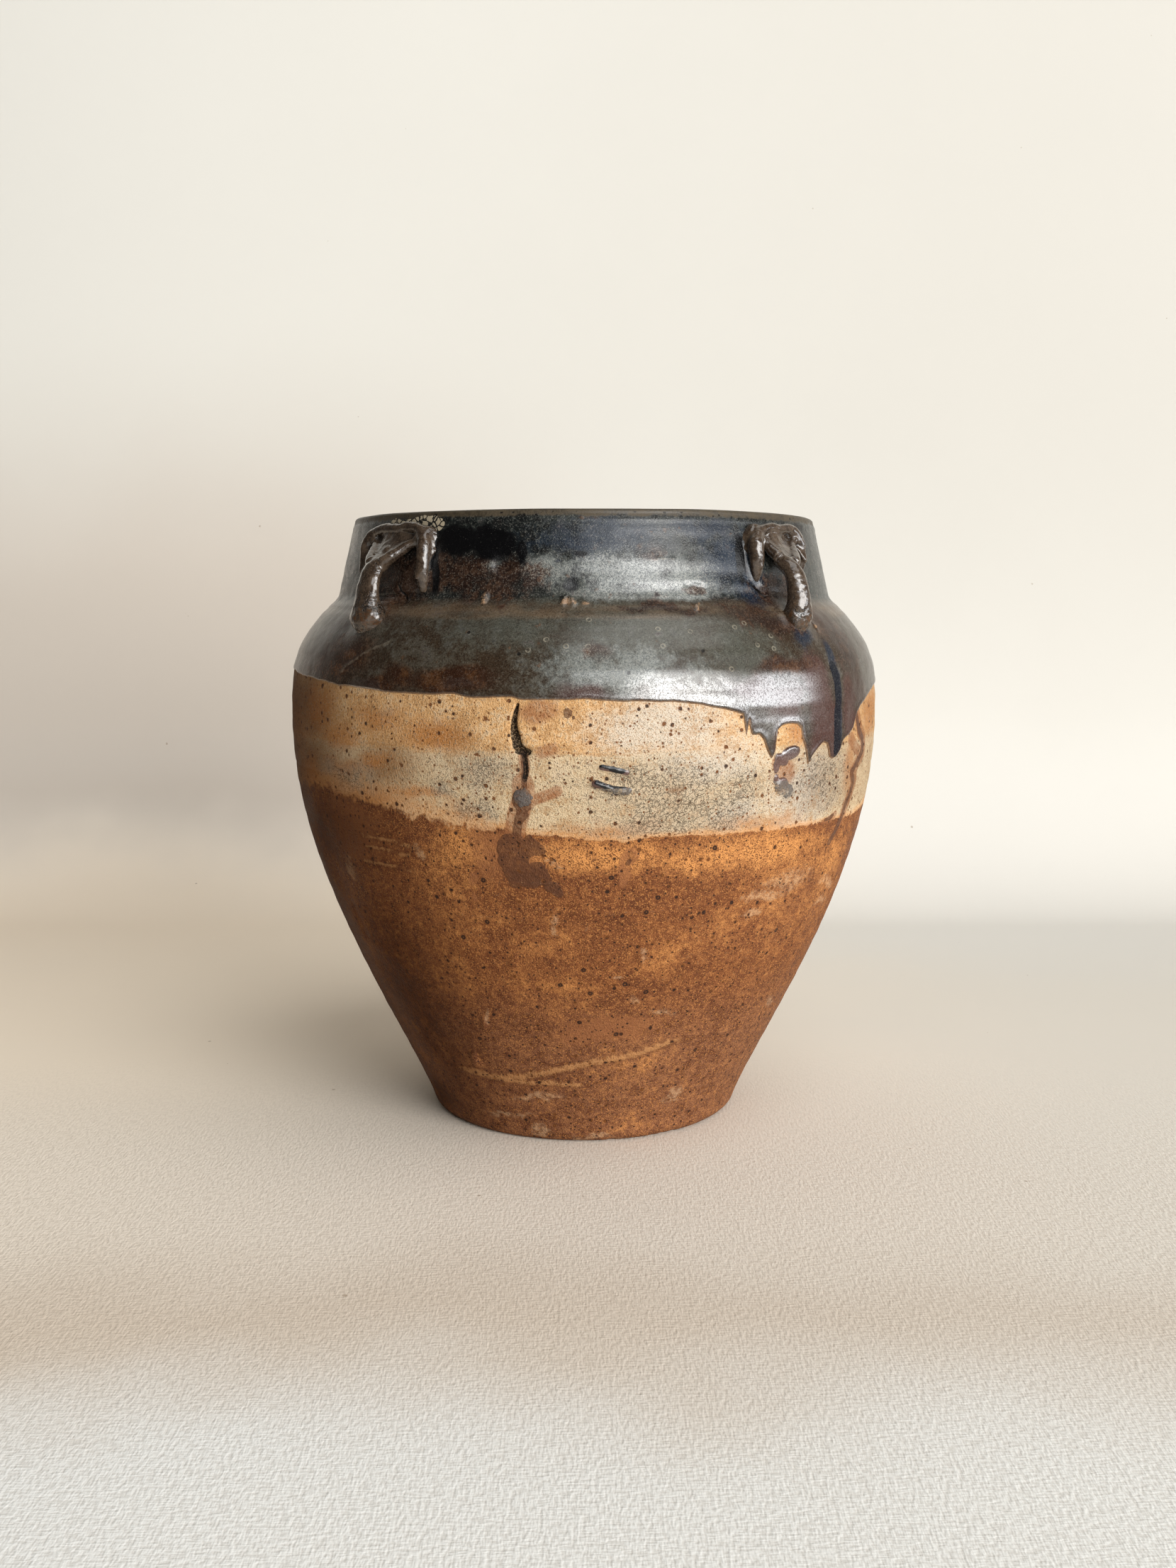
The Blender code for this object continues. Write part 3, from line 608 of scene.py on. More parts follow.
paint = {
    "flash": [(-27, 181, 12, 6, 0, 1.6), (-57, 190, 14, 9, 0, 1.4), (-50, 179, 12, 5, 0, 1.6),
        (-38, 186, 12, 5, 0, 1.8), (-48, 166, 12, 3, 0, 1.6), (-40, 170, 8, 3, 0, 1.6),
        (-75, 178, 26, 18, 0, 1.2), (-64, 160, 14, 8, 0, 1.4), (-30, 157.5, 16, 1.8, 0, 1.4),
        (58, 165, 5, 12, 0, 1.2), (40, 181, 7, 5, 0, 1.4), (70, 185, 12, 8, 0, 1.4),
        (4, 146, 18, 2.6, 0, 1.8), (32, 145, 22, 3, 0, 1.8), (-44, 156, 22, 3.5, -4, 1.6),
        (110, 185, 34, 10, 0, 1.6), (160, 175, 30, 12, 0, 1.6), (-150, 182, 34, 10, 0, 1.6),
        (-105, 170, 30, 14, 0, 1.5), (130, 160, 26, 5, 0, 1.6)],
    "soot": [(16, 156, 36, 15, -6, 1.5), (24, 151, 18, 9, 0, 1.2), (12, 149, 14, 7, 0, 1.3),
        (8, 165, 12, 7, 0, 1.4), (-19, 153.5, 9, 6, 0, 1.2), (28, 161, 12, 9, 0, 1.4),
        (-25, 160, 6, 3, 0, 1.4), (-17, 170, 14, 6, 0, 1.9), (48, 160, 20, 11, 0, 1.9),
        (-48, 162, 16, 5, 0, 1.9), (100, 160, 26, 9, 0, 1.7), (175, 158, 30, 9, 0, 1.7),
        (-120, 163, 26, 8, 0, 1.7)],
    "tea": [(-7.4, 192.4, 8, 4.6, 12, 1.7), (-5.6, 176.4, 5, 3, 12, 1.6), (8.6, 135.6, 4, 4, 40, 0.6),
        (7.6, 128.5, 2.8, 7, 0, 1), (36.6, 166, 6.5, 5.4, 30, 1.7), (37.6, 163, 4.8, 3.4, 0, 1.6),
        (52.5, 145.5, 4.4, 1.7, 12, 0.8), (-15, 134.5, 12, 10, 0, 1.6), (-50, 140, 20, 14, 0, 1.8),
        (-20.5, 124.5, 3, 3.2, 0, 1), (-20.8, 115.5, 1.8, 2.2, 0, 0.9), (4, 56, 20, 5.5, 6, 1.6),
        (121.8, 166, 3.8, 12, 0, 0.5), (122.4, 148, 6, 9, 0, 0.5), (-146, 160, 3.4, 11, 0, 0.5),
        (158.8, 158, 4, 9, 0, 0.6), (150, 100, 26, 16, 0, 1.8), (-110, 90, 26, 20, 0, 1.8)],
    "stain": [(-9.5, 158.6, 4.2, 4.8, 10, 0.6), (-9.8, 153.4, 2.4, 2.2, 0, 0.5),
        (-12.2, 139, 5, 5.8, 8, 0.2), (-9.2, 139.2, 4.6, 4.6, -10, 0.25), (-12, 128, 4.2, 8, 8, 0.2),
        (-9.4, 125, 6, 5.2, -30, 0.25), (-6.2, 120.2, 5.6, 2.9, -34, 0.3), (-11.6, 133.4, 3.2, 2.6, 0, 0.3),
        (-9.9, 156.8, 3.4, 2.2, 0, 0.5), (-2.9, 192.2, 1.3, 2, 30, 0.5), (-1.9, 190.2, 0.5, 0.9, 0, 0.5),
        (8.4, 133.4, 1.5, 1.4, 40, 0.5), (122, 158, 2.6, 6, 0, 0.5), (-146, 152, 2.4, 4, 0, 0.5),
        (158.8, 150, 2.8, 4, 0, 0.6)]
        + scatter(53, 8, (85, 275), (20, 135), (1.2, 3), (0.6, 1.2), 0.7),
    "pale": [(-15, 22.4, 13, 2.2, 4, 0.9), (-29, 10.4, 12, 1, 0, 0.9), (-15, 4, 4.6, 2.2, 0, 0.7),
        (2, 3, 10, 1.6, 0, 0.7), (29.5, 22, 3, 4.2, 0, 1.4), (-52, 120, 3, 4, 0, 1.4),
        (12.5, 71, 2.4, 1.8, -20, 1), (7.5, 81.5, 2.4, 0.9, 0, 1), (19.5, 62.5, 5, 1.1, -20, 1),
        (36, 104.5, 6, 1.5, 0, 1), (38, 113, 9, 2.8, 0, 1.2), (44, 119, 12, 3.4, 0, 1.5),
        (62, 113, 9, 2.2, -20, 1.2), (62, 103, 7, 2, 0, 1.2), (-6, 131, 4.6, 1.5, -15, 0.9),
        (13, 150.8, 1.6, 2, 30, 0.6), (58, 59, 4, 2, -10, 1.4), (-32, 135, 3, 2, -30, 1),
        (22.5, 175.5, 6, 2.4, -15, 1.5), (0, 105, 0.9, 0.9, 0, 0.8), (11.8, 90.5, 1.2, 3.4, 8, 0.8),
        (-5.2, 105, 0.8, 3.6, 2, 0.9), (-24.5, 60, 1, 3.4, -14, 0.9), (-34, 150, 6, 1.2, 0, 1.4)]
        + scatter(54, 16, (75, 285), (6, 125), (2, 6), (0.25, 0.8), 1.2),
    "ochre": [(2, 135, 30, 7, 0, 1.3), (32, 134, 40, 8, 0, 1.4), (17, 89, 7, 6, 0, 1.6),
        (-7, 78, 14, 8, 0, 1.7), (43, 108, 24, 16, 0, 1.5), (-21, 136, 16, 7, 0, 1.4),
        (16, 42, 14, 8, 0, 1.6), (17, 10, 9, 5, 0, 1.6), (-26, 110, 14, 16, 0, 1.8),
        (27, 100, 12, 10, 0, 1.7), (-9, 98, 12, 5, 0, 1.8), (60, 112, 14, 18, 0, 1.6),
        (-30, 80, 12, 9, 0, 1.9), (120, 132, 50, 8, 0, 1.6), (175, 130, 40, 9, 0, 1.6),
        (-110, 132, 50, 9, 0, 1.6), (95, 95, 26, 20, 0, 1.8), (140, 70, 24, 14, 0, 1.8),
        (-160, 90, 26, 16, 0, 1.8), (-95, 55, 20, 14, 0, 1.8)],
    # painted shade on the pot's left side, away from the lamps, partly the clay's own flame-darkening
    "dusk": [(-86, 100, 62, 190, 0, 0.9), (-60, 135, 40, 22, 0, 1.4), (-60, 12, 14, 10, 0, 1.3),
        (-48, 64, 26, 50, 0, 1.6), (-130, 60, 60, 60, 0, 1.2), (-70, 190, 24, 26, 0, 2.2)],
    "black": [(4.6, 162, 6.2, 2.8, -14, 0.4), (5.1, 169.2, 5, 2.2, -14, 0.4),
        (-28.5, 257, 8.5, 5.6, 0, 0.9), (-20.5, 255.4, 9.5, 7.4, -8, 0.8), (-14.2, 251.5, 2.8, 7, 0, 0.8),
        # the marks at 36.4 and -33.4 degrees, beside the legs of the two front lugs, are painted shadow
        (0, 252.6, 2.8, 1.7, -8, 0.9), (36.4, 250, 3, 12, 0, 0.9), (-1.6, 239.4, 3.6, 2.6, 10, 1.9),
        (60, 262, 10, 5, 0, 1.2), (-33.4, 246, 2, 12, 0, 1), (95, 252, 12, 6, 0, 0.9),
        (172, 250, 14, 6, 0, 0.9), (-110, 256, 12, 5, 0, 0.9)],
    "rusty": [(-26, 243.2, 16, 9, 0, 1.5), (-17.5, 242, 10, 7.5, 0, 1.7), (-11, 240, 7, 5, 0, 1.9),
        (-42, 242, 16, 12, 0, 1.5), (46, 236, 14, 6, 0, 1.6), (24.5, 238.6, 4, 2, -10, 1.3),
        (13, 252, 4, 1.8, 0, 1.9), (36, 226, 16, 5, -12, 1.4), (16, 229.5, 18, 1.8, 0, 1.6),
        # the mark at 58 degrees on the shoulder is painted shade where the lamps light it most
        (58, 214, 10, 10, 0, 1.4), (-56, 222, 12, 14, 0, 1.6), (100, 243, 22, 6, 0, 1.2),
        (165, 241, 24, 5, 0, 1.2), (-125, 244, 16, 6, 0, 1.2)],
    "olive": [(8, 222, 34, 13, 0, 1.5), (6, 208, 26, 8, 0, 1.5), (28, 214, 18, 12, 0, 1.7),
        (-14, 224, 20, 8, 0, 1.7), (-48, 222, 14, 6, 0, 1.8), (110, 218, 40, 14, 0, 1.6),
        (180, 216, 40, 14, 0, 1.6), (-115, 218, 30, 12, 0, 1.6)],
    "umber": [(-37, 167, 15, 8, 0, 1.7), (-60, 163, 22, 14, 0, 1.5), (-46, 151, 14, 5, 0, 1.7),
        (-62, 188, 22, 12, 0, 1.6), (-24, 181, 9, 4, 0, 1.9), (-150, 176, 26, 10, 0, 1.8),
        (110, 168, 26, 10, 0, 1.8)],
    # paler, greyer buff; on the lit front right it is partly painted sheen
    "paleAndSheen": [(14, 186, 26, 12, 0, 1.5), (42, 156, 18, 14, 0, 1.7), (22, 172, 20, 8, 0, 1.8),
        (28, 150, 12, 6, 0, 1.8), (140, 180, 40, 12, 0, 1.8), (-140, 170, 30, 10, 0, 1.8)],
    # grey crystal frost of the glaze, and painted sheen where the lamps reflect on the neck and on the
    # shoulder's lower band
    "frostAndSheen": [(9, 244, 20, 7.6, -5, 1.5), (23, 243, 13, 6.4, -8, 1.5), (-7, 244, 11, 6, 0, 1.6),
        (14, 237.5, 26, 3.4, 0, 1.6), (6, 207.5, 25, 7.5, 0, 1.5), (-20.5, 246, 2.2, 3.6, 0, 1.2),
        (110, 215, 40, 10, 0, 2), (180, 212, 40, 9, 0, 2), (-115, 216, 30, 8, 0, 2),
        (130, 246, 22, 6, 0, 1.7), (-170, 245, 20, 6, 0, 1.7)],
    "blue": [(33, 249, 12, 10, 0, 1.3), (28, 262, 18, 5, 0, 1.4), (39, 238, 9, 7, 0, 1.2),
        (4, 258, 26, 6, 0, 1.9), (51.4, 190, 2.4, 17, 0, 0.6), (51, 210, 3, 8, 0, 0.9),
        (44, 219, 6, 4, 0, 1.3), (51.4, 186, 1.9, 17, -2, 0.35), (-5.5, 248.4, 1.6, 1, 0, 1),
        (150, 258, 20, 6, 0, 1.6), (-95, 248, 14, 8, 0, 1.5)],
    "amber": [(-23, 202, 17, 5, 0, 0.7), (-38, 200.8, 9, 2.6, 0, 1), (-33, 203.5, 8, 4, 0, 1.3),
        (38, 207.5, 17, 3, 9, 1.2), (-48, 211, 14, 9, 0, 1.6), (-60, 206, 16, 6, 0, 1.4),
        (60, 196, 9, 8, 0, 1.4), (55, 226, 12, 8, 0, 1.9), (-50, 228, 14, 6, 0, 1.8),
        (95, 203, 40, 5, 0, 1.2), (175, 203, 36, 5, 0, 1.2), (-110, 206, 34, 5, 0, 1.2),
        (2.8, 214.4, 5.5, 2.2, 0, 1.3)],
    "violet": [(0, 200, 9, 3.4, 0, 1.6), (37, 193, 10, 8, 0, 1.4), (47, 184, 9, 17, 0, 0.8),
        (30, 199, 10, 4, 0, 1.6), (37, 178, 8, 9, 0, 0.9), (56, 188, 7, 14, 0, 0.9),
        (50, 171, 6, 4, 0, 0.9), (38.4, 172.6, 8, 4, 0, 0.8), (121.6, 178, 8, 14, 0, 0.9),
        (-146, 180, 8, 14, 0, 0.9), (158.6, 176, 8, 14, 0, 0.9)],
    "chalk": [(-41, 266, 15, 2.4, 0, 0.7), (-33.4, 262.8, 3.6, 3.6, -30, 0.7)],
    # where the glaze shines most
    "gloss": [(35, 194.5, 20, 9.5, 6, 1.3), (39, 188, 12, 10, 0, 1.4), (12, 198.4, 26, 2.4, -4, 7),
        (22, 197.5, 14, 3, 0, 5), (36, 180, 5, 5, 0, 1), (43.5, 196, 9, 11, 0, 1.8),
        (-41, 200, 9, 2.2, 0, 1), (-21, 200.6, 7, 2, 0, 1.2), (14, 243, 22, 6, -4, 1.8),
        (0, 246, 12, 4, 0, 1.9), (37.6, 158.6, 5, 4, 0, 1), (38.6, 173, 6, 3, 0, 1),
        (130, 196, 30, 7, 0, 0.9), (-140, 198, 26, 6, 0, 0.9), (180, 244, 30, 5, 0, 1.6)],
}

# Painted trails: paint, places, half width in mm and blur
trails = [
    ("streak", [(51, 206), (51.7, 200.8), (51.8, 195.2), (51.5, 189.2), (51.2, 183.6), (51.4, 177.6),
        (51.8, 170.6)], 2.7, 0.9),
    ("tea", [(-9.9, 174.5), (-9.5, 169.4), (-9.8, 163)], 2, 0.8),
    ("tea", [(-9.8, 163), (-10, 157), (-11, 151.2), (-11.8, 144.4)], 4.4, 0.5),
    ("stain", [(59.6, 188), (61.4, 179.6), (64.4, 174.6), (64.4, 169.6), (62, 165.6), (59.6, 161),
        (61.2, 156.8), (60.2, 151.6), (58.6, 147.2), (58, 142), (57, 137.4), (55.4, 132.4)], 1.7, 1.3),
    ("tea", [(60, 188), (62, 179.6), (64.8, 174.6), (64.8, 169.6), (62.4, 165.6), (60.2, 161),
        (61.4, 156.8), (60.4, 151.6), (58.8, 147.2), (58.2, 142)], 3.6, 0.7),
    ("tea", [(57.6, 176), (60, 172.4), (63.6, 168.2)], 2.8, 0.7),
    ("tea", [(35.2, 169.6), (37.6, 168.6), (37.8, 165.6), (37.4, 162)], 2.4, 0.9),
    ("tea", [(-9, 156.4), (-6.8, 158.4), (-4.4, 160.6)], 2.2, 0.9),
    ("stain", [(53.8, 143.8), (51.6, 142.6)], 0.9, 0.7),
    ("stain", [(-9.9, 175), (-9.5, 168.4), (-9.6, 162)], 1.1, 0.9),
    ("stain", [(-10.2, 154), (-11.4, 144)], 1.8, 1.6),
    ("violet", [(45, 205), (46.6, 190), (46.4, 176)], 8, 1),
    ("tea", [(122, 180), (121, 166), (122.6, 150)], 2.6, 0.8),
    ("tea", [(-146.2, 178), (-145.4, 162), (-146.4, 148)], 2.4, 0.8),
]

# Line between the buff band and the rust below it, as azimuth and height in mm, and how blurred it is
bandLine = [
    (-180, 146), (-150, 143), (-120, 147), (-95, 151), (-75, 152), (-60, 156), (-50, 155), (-40, 152),
    (-30, 149), (-20, 146), (-12, 144), (0, 142), (7, 140.5), (12, 142.6), (30, 142), (60, 142), (90, 144),
    (130, 141), (160, 145), (180, 146),
]


def wallFields(azimuth, points):
    # every attribute that the wall's materials read
    z, degrees = points[:, 2], np.degrees(azimuth)
    outer = np.hypot(points[:, 0], points[:, 1]) > wallRadius(z) - 4.4 * mm
    adrift, adriftZ = drifted(azimuth, z)
    fields = {name: spots(adrift, adriftZ, marks) * outer for name, marks in paint.items()}
    for name, places, width, blur in trails:
        distance, _ = fromLine(0.3 * adrift + 0.7 * azimuth, z, places)
        level = np.clip((1 - distance / (width * mm)) / blur + 0.5, 0, 1) * outer
        fields[name] = np.maximum(fields.get(name, 0), level)
    fields["glaze"] = np.clip(0.5 + fromDip(azimuth, z) / (6 * mm), 0, 1)
    fields["drip"] = np.clip(spots(azimuth, z, drips) * outer, 0, 1)
    for places, width, _ in runs.values():
        distance, _ = fromLine(azimuth, z, places)
        level = np.clip(0.45 + 0.5 * (width * mm - distance) / (width * mm), 0, 1) * outer
        fields["drip"] = np.maximum(fields["drip"], level)
    # the boundary of the band is soft at the left and crisp at the right
    crisp = 0.22 + 0.78 * step(np.abs(degrees - 30), 52, 30)
    fields["band"] = np.clip(0.5 + crisp * (z - lineHeight(bandLine, azimuth)) / (20 * mm), 0, 1)
    fields["crumb"] = spots(azimuth, z, crumbs) * outer
    score = np.zeros_like(z)
    for name, (places, width, height) in scores.items():
        if height > 0 or "scratch" in name.lower():
            distance, share = fromLine(azimuth, z, places)
            mark = bell(distance, width * 1.1 * mm) * step(share, -0.02, 0.1) * step(share, 1.02, 0.9)
            score = np.maximum(score, mark)
    fields["score"] = score * outer
    # painted shade on the buff clay towards the right, where the lamps light it most
    paintedShadeRight = 0.3 * step(degrees, 32, 48) * step(degrees, 150, 100) * step(z, 0.142, 0.15)
    fields["dusk"] = np.maximum(fields["dusk"], paintedShadeRight * outer)
    crack = np.zeros_like(z)
    for name, wide in (("crack", 2.0), ("crackBelow", 1.1), ("eyeCrackLeft", 0.5), ("eyeCrackRight", 0.5)):
        distance, share = fromLine(azimuth, z, scores[name][0])
        if name == "crack":
            distance = distance / crackWidth(share)
        crack = np.maximum(crack, bell(distance, wide * mm))
    fields["crack"] = crack * outer
    return fields


# Turned skins: foot to seam, seam to neck, neck to rim

turned = {
    "lowerRows": 116,             # rings from the foot's edge to the seam
    "bareRows": 52,               # seam to the glaze's edge
    "coatRows": 66,               # glaze's edge to the neck
    "collarRows": 40,
    "edgeRows": 7,                # round each small edge
    "insideStep": 4.5 * mm,
    "rimWave": 0.35 * mm,
    "grain": 0.12 * mm,           # roughness of the underside and the rim's flat
    "parting": 0.06 * mm,         # between pieces where they meet out of sight
}


def footRings():
    # underside and the foot's rounded edge: a quarter ellipse carried in from the wall line
    ground, hollow, slope = turned["parting"], body["footHollow"], body["footSlope"]
    flatOut = body["footRadius"] - body["footEdge"]
    flatIn = flatOut - body["footRing"] + body["footEdge"]
    rings = []
    for radius, height in ((flatIn - slope - 12 * mm, hollow), (flatIn - slope, hollow),
                           (flatIn - 0.5 * slope, 0.5 * hollow), (flatIn, 0.1 * mm),
                           (flatIn + 4 * mm, 0), (flatOut - 1.5 * mm, 0)):
        grain = turned["grain"] * lumps(ringPoints(insideColumns, radius, height), 0.012, 61, 2)
        rings.append(ringPoints(insideColumns, radius, ground + height + np.abs(grain)))
    chips = 0.8 * mm * step(lumps(onCylinder(columns, 0), 0.01, 67, 2), 0.35, 0.9)
    for turn in np.linspace(0, np.pi / 2, turned["edgeRows"])[:-1]:
        z = body["footEdge"] * (1 - np.cos(turn))
        inset = body["footEdge"] * (1 - np.sin(turn))
        ring = wallRings([z], coat=False)[0]
        shrunk = 1 - (inset + chips * np.cos(turn)) / np.hypot(ring[:, 0], ring[:, 1])
        rings.append(ring * np.array([1, 1, 0]) * shrunk[:, None] + np.array([0, 0, max(z, ground)]))
    return rings


def lowerSkin(material):
    rings = footRings() + wallRings(np.linspace(body["footEdge"], seamZ, turned["lowerRows"]))
    insideFrom = len(rings) - 1
    rings.append(seamRing(seamZ, -turned["parting"]))
    corner, floorTop = body["floorCorner"], body["floor"] + body["footHollow"]
    rings += insideRings(np.arange(seamZ - 0.5 * mm, floorTop + corner + 3 * mm, -turned["insideStep"]))
    cornerRadius, _ = insideWall(floorTop + corner)
    for turn in np.linspace(0, np.pi / 2, 8):
        rings.append(ringPoints(insideColumns, cornerRadius - corner * (1 - np.cos(turn)),
                                floorTop + corner * (1 - np.sin(turn))))
    for share in (0.8, 0.6, 0.4, 0.2, 0.08):
        radius = (cornerRadius - corner) * share
        swirl = 0.3 * mm * np.sin(2 * np.pi * radius / 0.009 + insideColumns)
        rings.append(ringPoints(insideColumns, radius, floorTop + swirl * min(1, share * 3)))
    return turnedShell("lowerSkin", rings, insideFrom, material, wallFields,
                       start=turned["parting"] + body["footHollow"], end=floorTop)


def upperSkin(material):
    edge = dipEdge(columns)
    rise = np.linspace(0, 1, turned["bareRows"] + 1)[:-1]
    heights = [seamZ + (edge - seamZ) * (1 - (1 - t) ** 1.25) for t in rise]
    # rows crowd together at the rolled edge of the coat, and leave its ragged line for the smoothed one
    climb = np.linspace(0, 1, turned["coatRows"])
    climb = 0.35 * climb ** 2.6 + 0.65 * climb ** 1.15
    soft = np.interp(columns, dipTurns[:-1], dipSoft, period=2 * np.pi)
    soft = np.clip(soft, edge - 7 * mm, edge + 7 * mm)
    heights += [soft + (neckZ - soft) * t + (edge - soft) * (1 - t) * np.exp(-t / 0.2) for t in climb]
    rings = wallRings(heights)
    insideFrom = len(rings) - 1
    rings.append(seamRing(neckZ, -turned["parting"]))
    rings += insideRings(np.arange(neckZ - 0.5 * mm, seamZ, -turned["insideStep"]))
    rings += [ringPoints(insideColumns, insideWall(seamZ)[0], seamZ + turned["parting"]),
              seamRing(seamZ, turned["parting"])]
    return turnedShell("upperSkin", rings, insideFrom, material, wallFields, closed=True)


def rimWave(azimuth):
    # the rim's top dips and lifts a little round the pot, never above the CAD box
    return turned["rimWave"] * (lumps(onCylinder(azimuth, 0), 0.05, 71, 2) - 1.2)


def collarSkin(material):
    outer, inner = body["rimOuterEdge"], body["rimInnerEdge"]
    rings = wallRings(np.linspace(neckZ, rimZ - outer, turned["collarRows"]))
    wave = rimWave(columns)
    for i in range(-8, 0):
        rings[i][:, 2] += wave * (9 + i) / 9
    rings[-1][:, 2] = np.minimum(rings[-1][:, 2], potTop - outer)
    last = rings[-1]
    across = np.hypot(last[:, 0], last[:, 1])
    ways = np.stack([np.sin(columns), -np.cos(columns)], 1)

    def addRing(inset, z):
        rings.append(np.column_stack([ways * (across - inset)[:, None], z]))

    # over the rim: a quarter circle, the flat and a wider quarter circle
    quarter = np.linspace(0, np.pi / 2, turned["edgeRows"])[1:]
    for turn in quarter:
        addRing(outer * (1 - np.cos(turn)), last[:, 2] + outer * np.sin(turn))
    top = rings[-1][:, 2]
    flat = body["collarWall"] - outer - inner
    grain = turned["grain"] * lumps(ringPoints(columns, rimRadius, rimZ), 0.004, 73, 2)
    for share in np.linspace(0, 1, 5)[1:]:
        addRing(outer + flat * share, np.minimum(top + grain - 0.1 * mm, potTop))
    for turn in quarter:
        addRing(outer + flat + inner * np.sin(turn), top - 0.1 * mm - inner * (1 - np.cos(turn)))
    insideFrom = len(rings) - 1
    rings += insideRings(np.arange(rimZ - inner - 2 * mm, neckZ, -turned["insideStep"]))
    rings += [ringPoints(insideColumns, insideWall(neckZ)[0], neckZ + turned["parting"]),
              seamRing(neckZ, turned["parting"])]
    return turnedShell("collarSkin", rings, insideFrom, material, wallFields, closed=True)


# Lugs and the luting clay behind them

hood = {
    "topDrop": 0.0058,            # upper edge below the rim
    "topLip": 0.0014,             # how far that edge stands out of the pad
    "height": 0.0155,             # down to the strap's root
    "notch": 0.0068,              # down to where the lower edge turns up beside a leg
    "reach": 0.0116,              # how far the lower edge stands out at the strap
    "thick": 0.0034,
    "dish": 0.0019,               # the thumb's hollow
    "legWidth": 0.0076,
    "legLift": 0.0034,
    "seat": 0.0021,               # face of the pad
    "legTail": 0.005,             # glaze and clay run down below each leg
    "lipRound": 0.002,            # half thickness of the rolled lower edge
    # rise of the upper edge in mm, at shares of the way from leg to leg
    "brow": ((0.0, -5.6), (0.12, -2.6), (0.34, -1.0), (0.55, -1.4), (0.74, -0.8), (0.9, -2.0), (1.0, -5.2)),
}

strap = {
    "reach": 0.0123,
    "rootWidth": 0.0094, "width": 0.0112, "thick": 0.0064,
    "footWidth": 0.0144, "footThick": 0.0112,
    "footRise": 0.0105,           # foot of the strap below the neck's root
    "swell": 0.0016,              # clay drawn up round it, over a mark of this height, size, turn and blur
    "swellMark": (226, 10.5, 11, 0, 1),
}

remeshing = {
    "voxel": 0.38 * mm,
    "smooth": 12,                 # turns of smoothing that melt the fused parts together
    "ridgeReach": 14,             # turns that show what stands out
    "ridge": 0.35 * mm,           # height of a full ridge
}

pad = {
    "thick": 0.0015,
    "overhang": 0.0012,
    "topDrop": 0.0045,
    "footClear": -0.001,
    "sunk": 0.0012,               # how far the back lies in the wall
    "rows": 40, "columns": 192,
}


def onLug(lug, across, z, out):
    angle = np.radians(lug["azimuth"]) + across / collarRadius(z)
    return ringPoints(angle, collarRadius(z) + out, z)


def curveThrough(places, count):
    # Catmull-Rom: each stretch is a cubic through four neighbouring places
    p = np.array(places, float)
    p = np.vstack([2 * p[:1] - p[1:2], p, 2 * p[-1:] - p[-2:-1]])
    at = np.linspace(0, len(places) - 1 - 1e-6, count)
    i = at.astype(int)
    t = (at - i)[:, None]
    a, b, c, d = p[i], p[i + 1], p[i + 2], p[i + 3]
    return 0.5 * (2 * b + (c - a) * t + (2 * a - 5 * b + 4 * c - d) * t ** 2
                  + (3 * b - a - 3 * c + d) * t ** 3)


def sectionSkin(sections):
    # closed skin over sections of equally many points, with a fan on the first and the last
    count, around, _ = sections.shape
    i, j = np.meshgrid(np.arange(count - 1), np.arange(around), indexing="ij")
    k = (j + 1) % around
    low, high = i * around, (i + 1) * around
    quads = np.stack([low + j, low + k, high + k, high + j], -1).reshape(-1, 4)
    points = np.vstack([sections.reshape(-1, 3), sections[0].mean(0), sections[-1].mean(0)])
    turn = np.arange(around)
    after = np.roll(turn, -1)
    first = np.stack([after, turn, np.full(around, count * around)], 1)
    last = np.stack([turn, after, np.full(around, around + 1)], 1) + (count - 1) * around
    return points, quads, np.vstack([first, last])


def unit(vectors):
    return vectors / np.linalg.norm(vectors, axis=1, keepdims=True)


def roll(lug, places, count=60, sides=20):
    # a tube of elliptic sections: each place is across, height, out, half width, half depth, twist in degrees
    curve = curveThrough(places, count)
    centre = onLug(lug, curve[:, 0], curve[:, 1], curve[:, 2])
    way = unit(np.gradient(centre, axis=0))
    side = unit(np.cross(way, unit(centre * [1, 1, 0])))
    lift = np.cross(side, way)
    twist = np.radians(curve[:, 5])[:, None]
    side, lift = side * np.cos(twist) + lift * np.sin(twist), lift * np.cos(twist) - side * np.sin(twist)
    angle = np.linspace(0, 2 * np.pi, sides, endpoint=False)
    wide = np.maximum(curve[:, 3], 0.2 * mm)[:, None, None] * np.cos(angle)[None, :, None] * side[:, None]
    deep = np.maximum(curve[:, 4], 0.2 * mm)[:, None, None] * np.sin(angle)[None, :, None] * lift[:, None]
    return sectionSkin(centre[:, None] + wide + deep)


